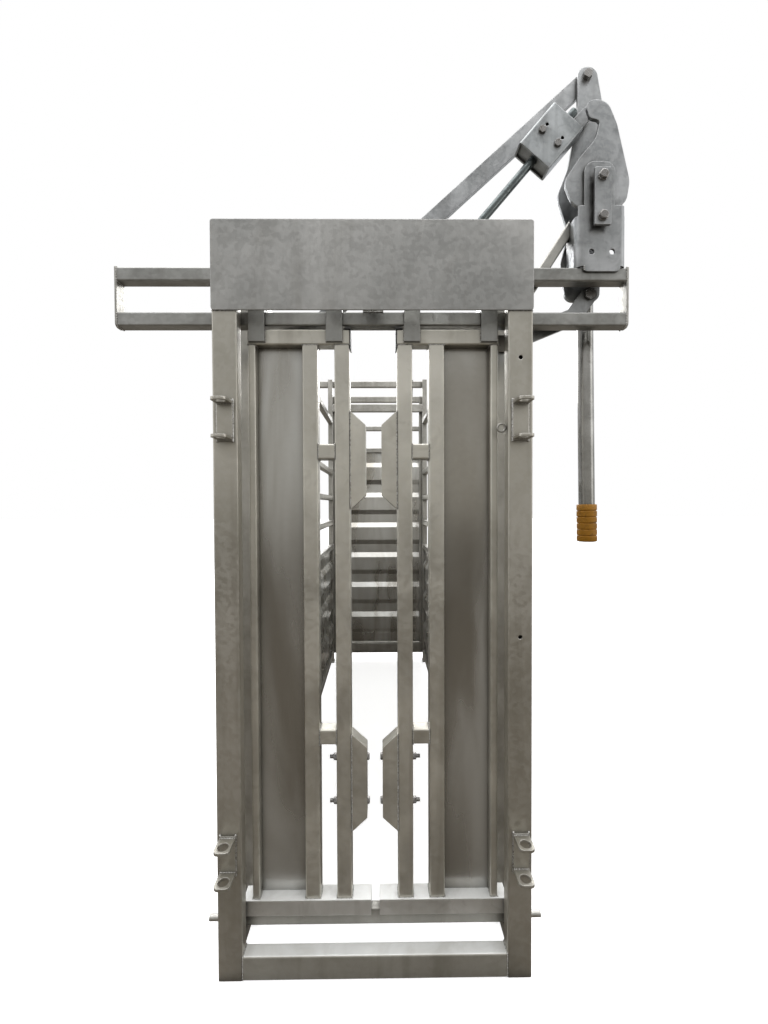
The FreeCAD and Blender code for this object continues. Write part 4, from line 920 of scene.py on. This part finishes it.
@dataclass
class Fasteners:
    """Bolts, nuts and pins with chamfered heads, washers and cut threads."""

    finish: Material
    shank_sides: int = 20
    thread_pitch: float = 0.002
    thread_depth: float = 0.0007
    largest_chamfer: float = 0.0012
    tree: GeometryTree = field(init=False)
    template: bpy.types.Object = field(init=False)

    def __post_init__(self) -> None:
        """Build the head that is repeated, and the tree that repeats it."""
        self.template = self.head()
        build = GeometryTree("hex_field", {"Scale": 1.0})
        source = build.add("GeometryNodeObjectInfo", transform_space="ORIGINAL")
        lay = build.add("GeometryNodeInstanceOnPoints")
        grow = build.add("ShaderNodeVectorMath", operation="SCALE")
        build.link(build.entry.outputs["Template"], source.inputs["Object"],
                   build.entry.outputs["Geometry"], lay.inputs["Points"],
                   source.outputs["Geometry"], lay.inputs["Instance"],
                   build.attribute("turn", "FLOAT_VECTOR"), lay.inputs["Rotation"],
                   build.attribute("size", "FLOAT_VECTOR"), grow.inputs[0],
                   build.entry.outputs["Scale"], grow.inputs["Scale"],
                   grow.outputs["Vector"], lay.inputs["Scale"])
        build.close(lay.outputs["Instances"], False)
        self.tree = build

    def head(self) -> bpy.types.Object:
        """Chamfered hexagon on a washer, one unit across its flats and one unit high."""
        shape = bmesh.new()
        flat = 0.5
        corner = flat / math.cos(math.pi / 6)
        washer, seat, crown = 0.62, 0.60, 0.45
        levels = (((0.0, 0.0), (washer, washer)), ((0.14, 0.14), (washer, washer)),
                  ((0.17, 0.17), (seat, seat)), ((0.17, 0.17), (corner, flat)),
                  ((0.80, 0.93), (corner, flat)), ((1.0, 1.0), (crown, crown)))
        skin(shape, [[shape.verts.new((radii[k % 2] * math.cos(math.pi * k / 6),
                                       radii[k % 2] * math.sin(math.pi * k / 6), heights[k % 2]))
                      for k in range(12)] for heights, radii in levels])
        return mesh_piece("hex_template", shape, self.finish)

    def shank(self, shape: Shape, bar: Shank, threaded: float = 0.0) -> None:
        """Add a round bar with chamfered ends, and cut rings over its last stretch.

        Args:
            shape: Mesh to add to.
            bar: The bar.
            threaded: Length of thread at its end.
        """
        start, end = Vector(bar.start), Vector(bar.end)
        length = (end - start).length
        radius = bar.diameter / 2
        chamfer = min(self.largest_chamfer, radius * 0.2)
        profile = [(0.0, radius - chamfer), (chamfer, radius)]
        for turn in range(int(threaded / self.thread_pitch)):
            at = length - chamfer - threaded + turn * self.thread_pitch
            profile += [(at, radius), (at + self.thread_pitch / 2, radius - self.thread_depth)]
        profile += [(length - chamfer, radius), (length, radius - chamfer)]
        lathe(shape, start, (end - start).normalized(), profile, self.shank_sides)

    def make(self, name: str, body: Body, slot: Slot, heads: list[Hex],
             bars: list[tuple[Shank, float]], *nodes: str) -> None:
        """Build one piece of bolts.

        Args:
            name: Name of the piece.
            body: Body it rides on.
            slot: Slot of its finish.
            heads: Its hexagons.
            bars: Its shanks, each with its length of thread.
            *nodes: CAD nodes that it stands for.
        """
        mesh = bpy.data.meshes.new(name + "_points")
        mesh.from_pydata([head.place for head in heads], [], [])
        turns, sizes = [], []
        for head in heads:
            turns += list(Vector(head.axis).to_track_quat("Z", "Y").to_euler())
            sizes += [head.span, head.span, head.height]
        for label, values in (("turn", turns), ("size", sizes)):
            mesh.attributes.new(label, "FLOAT_VECTOR", "POINT").data.foreach_set("vector", values)
        piece = self.tree.bake(name, mesh, self.finish, self.template)
        shape = bmesh.new()
        shape.from_mesh(piece.data)
        for bar, threaded in bars:
            self.shank(shape, bar, threaded)
        bmesh.ops.recalc_face_normals(shape, faces=shape.faces[:])
        shape.to_mesh(piece.data)
        shape.free()
        piece.data.shade_smooth()
        piece.data.set_sharp_from_angle(angle=math.radians(28.0))
        settle(piece, body, slot, *nodes)

    def bracket(self) -> None:
        """Build the pivot bolt and the strap's bolt, with the strap's two spacers."""
        low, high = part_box("pivot_bolt")
        x, pivot = (low.x + high.x) / 2, (low.z + high.z) / 2
        back, front = -1, 1
        strap = pivot - 0.115
        self.make("pivot_bolt_set", Body.FRAME, Slot.ZINC,
                  [Hex((x, 0.010, pivot), (0, back, 0), 0.024, 0.010),
                   Hex((x, 0.1204, pivot), (0, front, 0), 0.024, 0.0118)],
                  [(Shank((x, 0.009, pivot), (x, high.y, pivot), 0.016), 0.010)], "pivot_bolt")
        self.make("strap_bolt_set", Body.FRAME, Slot.ZINC,
                  [Hex((x, 0.010, strap), (0, back, 0), 0.024, 0.010),
                   Hex((x, 0.036, strap), (0, front, 0), 0.024, 0.008)],
                  [(Shank((x, 0.009, strap), (x, 0.037, strap), 0.016), 0.0),
                   (Shank((x, 0.018, pivot), (x, 0.030, pivot), 0.030), 0.0),
                   (Shank((x, 0.018, strap), (x, 0.030, strap), 0.030), 0.0)], "strap_fasteners")

    def pads(self) -> None:
        """Build the bolts of the lower neck pads."""
        for side, body, node in ((-1.0, Body.LEFT_LEAF, "left_pad_bolts"),
                                 (1.0, Body.RIGHT_LEAF, "right_pad_bolts")):
            heads, bars = [], []
            for height in (0.469, 0.603):
                y = 0.0565
                heads += [Hex((side * 0.023, y, height), (-side, 0, 0), 0.018, 0.007),
                          Hex((side * 0.114, y, height), (side, 0, 0), 0.018, 0.011)]
                bars.append((Shank((side * 0.024, y, height), (side * 0.136, y, height), 0.012),
                             0.016))
            self.make(node + "_set", body, Slot.ZINC, heads, bars, node)

    def build(self) -> None:
        """Build every set of bolts."""
        self.bracket()
        self.pads()
        bpy.data.objects.remove(self.template)


@dataclass
class Grip:
    """Ribbed yellow grip on the handle's end."""

    finish: Material
    length: float = 0.119
    radius: float = 0.030
    bore: float = 0.0243
    ribs: int = 5
    sides: int = 40
    groove: float = 0.0022
    overhang: float = 0.004
    handle_radius: float = 0.02415

    def axis(self) -> tuple[Vector, Vector]:
        """Lower end of the handle's axis, and the unit vector that points down along it."""
        low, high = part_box("handle_tube")
        y = (low.y + high.y) / 2
        lean = (high.x - low.x - 2 * self.handle_radius) / (high.z - low.z)
        tilt = self.handle_radius * lean
        top = Vector((low.x + self.handle_radius, y, high.z - tilt))
        end = Vector((high.x - self.handle_radius, y, low.z + tilt))
        return end, (end - top).normalized()

    def build(self) -> None:
        """Lathe the grip along the handle."""
        end, along = self.axis()
        radius, length = self.radius, self.length
        profile = [(0.0, self.bore), (0.0, radius - 0.002), (0.002, radius)]
        pitch = length / (self.ribs + 1)
        shoulder, flank, shallow = 0.0024, 0.0014, 0.0016
        for rib in range(1, self.ribs + 1):
            at = pitch * rib
            profile += [(at - shoulder, radius), (at - flank, radius - shallow),
                        (at, radius - self.groove), (at + flank, radius - shallow),
                        (at + shoulder, radius)]
        profile += [(length - 0.004, radius), (length - 0.001, radius - 0.0015),
                    (length, radius - 0.005)]
        shape = bmesh.new()
        lathe(shape, end - along * (length - self.overhang), along, profile, self.sides)
        piece = mesh_piece("ribbed_grip", shape, self.finish, 50.0)
        settle(piece, Body.LEVER, Slot.GRIP, "handle_grip")


@dataclass(frozen=True)
class Lamp:
    """Soft rectangular lamp: where it hangs, what it faces, its panel, its watts and its tint."""

    name: str
    place: Point
    aim: Point
    panel: tuple[float, float]
    power: float
    tint: Colour = (1.0, 1.0, 1.0)

    def build(self) -> None:
        """Hang the lamp."""
        data = bpy.data.lights.new(self.name, "AREA")
        data.shape = "RECTANGLE"
        data.size, data.size_y = self.panel
        data.energy = self.power
        data.color = self.tint
        lamp = bpy.data.objects.new(self.name, data)
        lamp.location = self.place
        towards = Vector(self.aim) - Vector(self.place)
        lamp.rotation_euler = towards.to_track_quat("-Z", "Y").to_euler()
        lamp.visible_camera = False
        bpy.context.scene.collection.objects.link(lamp)


@dataclass(frozen=True)
class Studio:
    """Floor, lights, surroundings and the camera."""

    eye: Point = (0.0181, -1.231, 1.3626)
    pitch: float = -0.99
    yaw: float = 0.53
    roll: float = 0.21
    lens: float = 15.12
    sensor: float = 36.0
    floor_glow: float = 0.52
    ground: Colour = (0.12, 0.105, 0.085)
    brighter_towards: Point = (0.0, 0.45, 0.89)
    sky: tuple[tuple[float, Colour], ...] = (
        (0.18, (0.32, 0.305, 0.27)), (0.26, (0.56, 0.545, 0.50)), (0.42, (0.52, 0.515, 0.495)),
        (0.56, (0.54, 0.54, 0.535)), (0.72, (0.86, 0.87, 0.88)), (0.95, (1.20, 1.22, 1.25)))
    lamps: tuple[Lamp, ...] = (
        Lamp("overhead", (0.0, 0.6, 5.2), (0.0, 0.6, 0.0), (6.0, 5.0), 170.0, (1.0, 0.99, 0.97)),
        Lamp("back", (0.0, 7.0, 4.6), (0.0, 1.0, 0.8), (6.0, 3.0), 330.0),
        Lamp("left_side", (-4.2, -1.5, 2.4), (0.0, 0.4, 1.2), (2.5, 3.0), 22.0, (0.97, 0.98, 1.0)),
        Lamp("right_side", (4.2, -1.5, 2.6), (0.0, 0.4, 1.2), (2.5, 3.0), 26.0, (1.0, 0.99, 0.97)))

    def floor(self) -> None:
        """Pale floor, wide enough for every view."""
        shape = bmesh.new()
        bmesh.ops.create_grid(shape, x_segments=2, y_segments=2, size=40.0)
        bench = Bench("pale_floor")
        tone = bench.ranged(bench.noise(0.8, 3.0), (0.3, 0.7), (0.0, 1.0))
        seen = bench.add("ShaderNodeLightPath").outputs["Is Camera Ray"]
        pale = bench.blend(tone, (0.90, 0.90, 0.90), (0.93, 0.93, 0.93))
        bench.link(bench.blend(seen, self.ground, pale), bench.shader.inputs["Base Color"])
        bench.shader.inputs["Roughness"].default_value = 0.9
        bench.shader.inputs["Emission Color"].default_value = (1.0, 1.0, 1.0, 1.0)
        glow = bench.times(seen, self.floor_glow)
        bench.link(glow, bench.shader.inputs["Emission Strength"])
        ground = mesh_piece("floor", shape, bench.material)

    def surroundings(self) -> None:
        """Hall that is bright overhead and behind, and dim in front."""
        world = bpy.data.worlds.new("hall")
        bpy.context.scene.world = world
        world.use_nodes = True
        hall = Wiring(world.node_tree)
        hall.tree.nodes.clear()
        output = hall.add("ShaderNodeOutputWorld")
        place = hall.add("ShaderNodeTexCoord")
        lean = hall.add("ShaderNodeVectorMath", {1: self.brighter_towards},
                        operation="DOT_PRODUCT")
        rise = hall.add("ShaderNodeMapRange", {"From Min": -1.0})
        ramp = hall.add("ShaderNodeValToRGB")
        glow = hall.add("ShaderNodeBackground")
        white = (1.0, 1.0, 1.0, 1.0)
        sheet = hall.add("ShaderNodeBackground", {"Color": white, "Strength": 1.0})
        path = hall.add("ShaderNodeLightPath")
        either = hall.add("ShaderNodeMixShader")
        stops = ramp.color_ramp.elements
        for stop, colour in self.sky:
            stops.new(stop).color = (*colour, 1.0)
        stops.remove(stops[0])
        stops[0].color = (*self.sky[0][1], 1.0)
        hall.link(place.outputs["Generated"], lean.inputs[0],
                  lean.outputs["Value"], rise.inputs["Value"],
                  rise.outputs["Result"], ramp.inputs["Fac"],
                  ramp.outputs["Color"], glow.inputs["Color"],
                  path.outputs["Is Camera Ray"], either.inputs["Fac"],
                  glow.outputs["Background"], either.inputs[1],
                  sheet.outputs["Background"], either.inputs[2],
                  either.outputs["Shader"], output.inputs["Surface"])

    def camera(self) -> None:
        """Camera at eye height in front of the gate."""
        data = bpy.data.cameras.new("camera")
        data.sensor_width = self.sensor
        data.lens = self.lens
        pitch, yaw, roll = (math.radians(a) for a in (self.pitch, self.yaw, self.roll))
        level = math.cos(pitch)
        ahead = Vector((math.sin(yaw) * level, math.cos(yaw) * level, math.sin(pitch)))
        right = ahead.cross(Vector((0.0, 0.0, 1.0))).normalized()
        up = right.cross(ahead)
        side = right * math.cos(roll) - up * math.sin(roll)
        top = right * math.sin(roll) + up * math.cos(roll)
        turn = Matrix((side, top, -ahead)).transposed().to_4x4()
        eye = bpy.data.objects.new("camera", data)
        eye.matrix_world = Matrix.Translation(self.eye) @ turn
        bpy.context.scene.collection.objects.link(eye)
        bpy.context.scene.camera = eye

    def build(self) -> None:
        """Set everything up."""
        scene = bpy.context.scene
        scene.view_settings.view_transform = "Standard"
        self.camera()
        self.floor()
        self.surroundings()
        for lamp in self.lamps:
            lamp.build()


def main() -> None:
    """Build the looks in order."""
    logging.basicConfig(level=logging.INFO, format="%(name)s: %(message)s")
    Studio().build()
    finishes = Finishes()
    Coatings(finishes).apply()
    welds = WeldSeams(finishes.weld)
    FrameWelds(welds).build()
    for side in (-1.0, 1.0):
        Leaf(side, welds, finishes).build()
    Fasteners(finishes.bolt).build()
    Grip(finishes.grip).build()


if __name__ == "__main__":
    main()
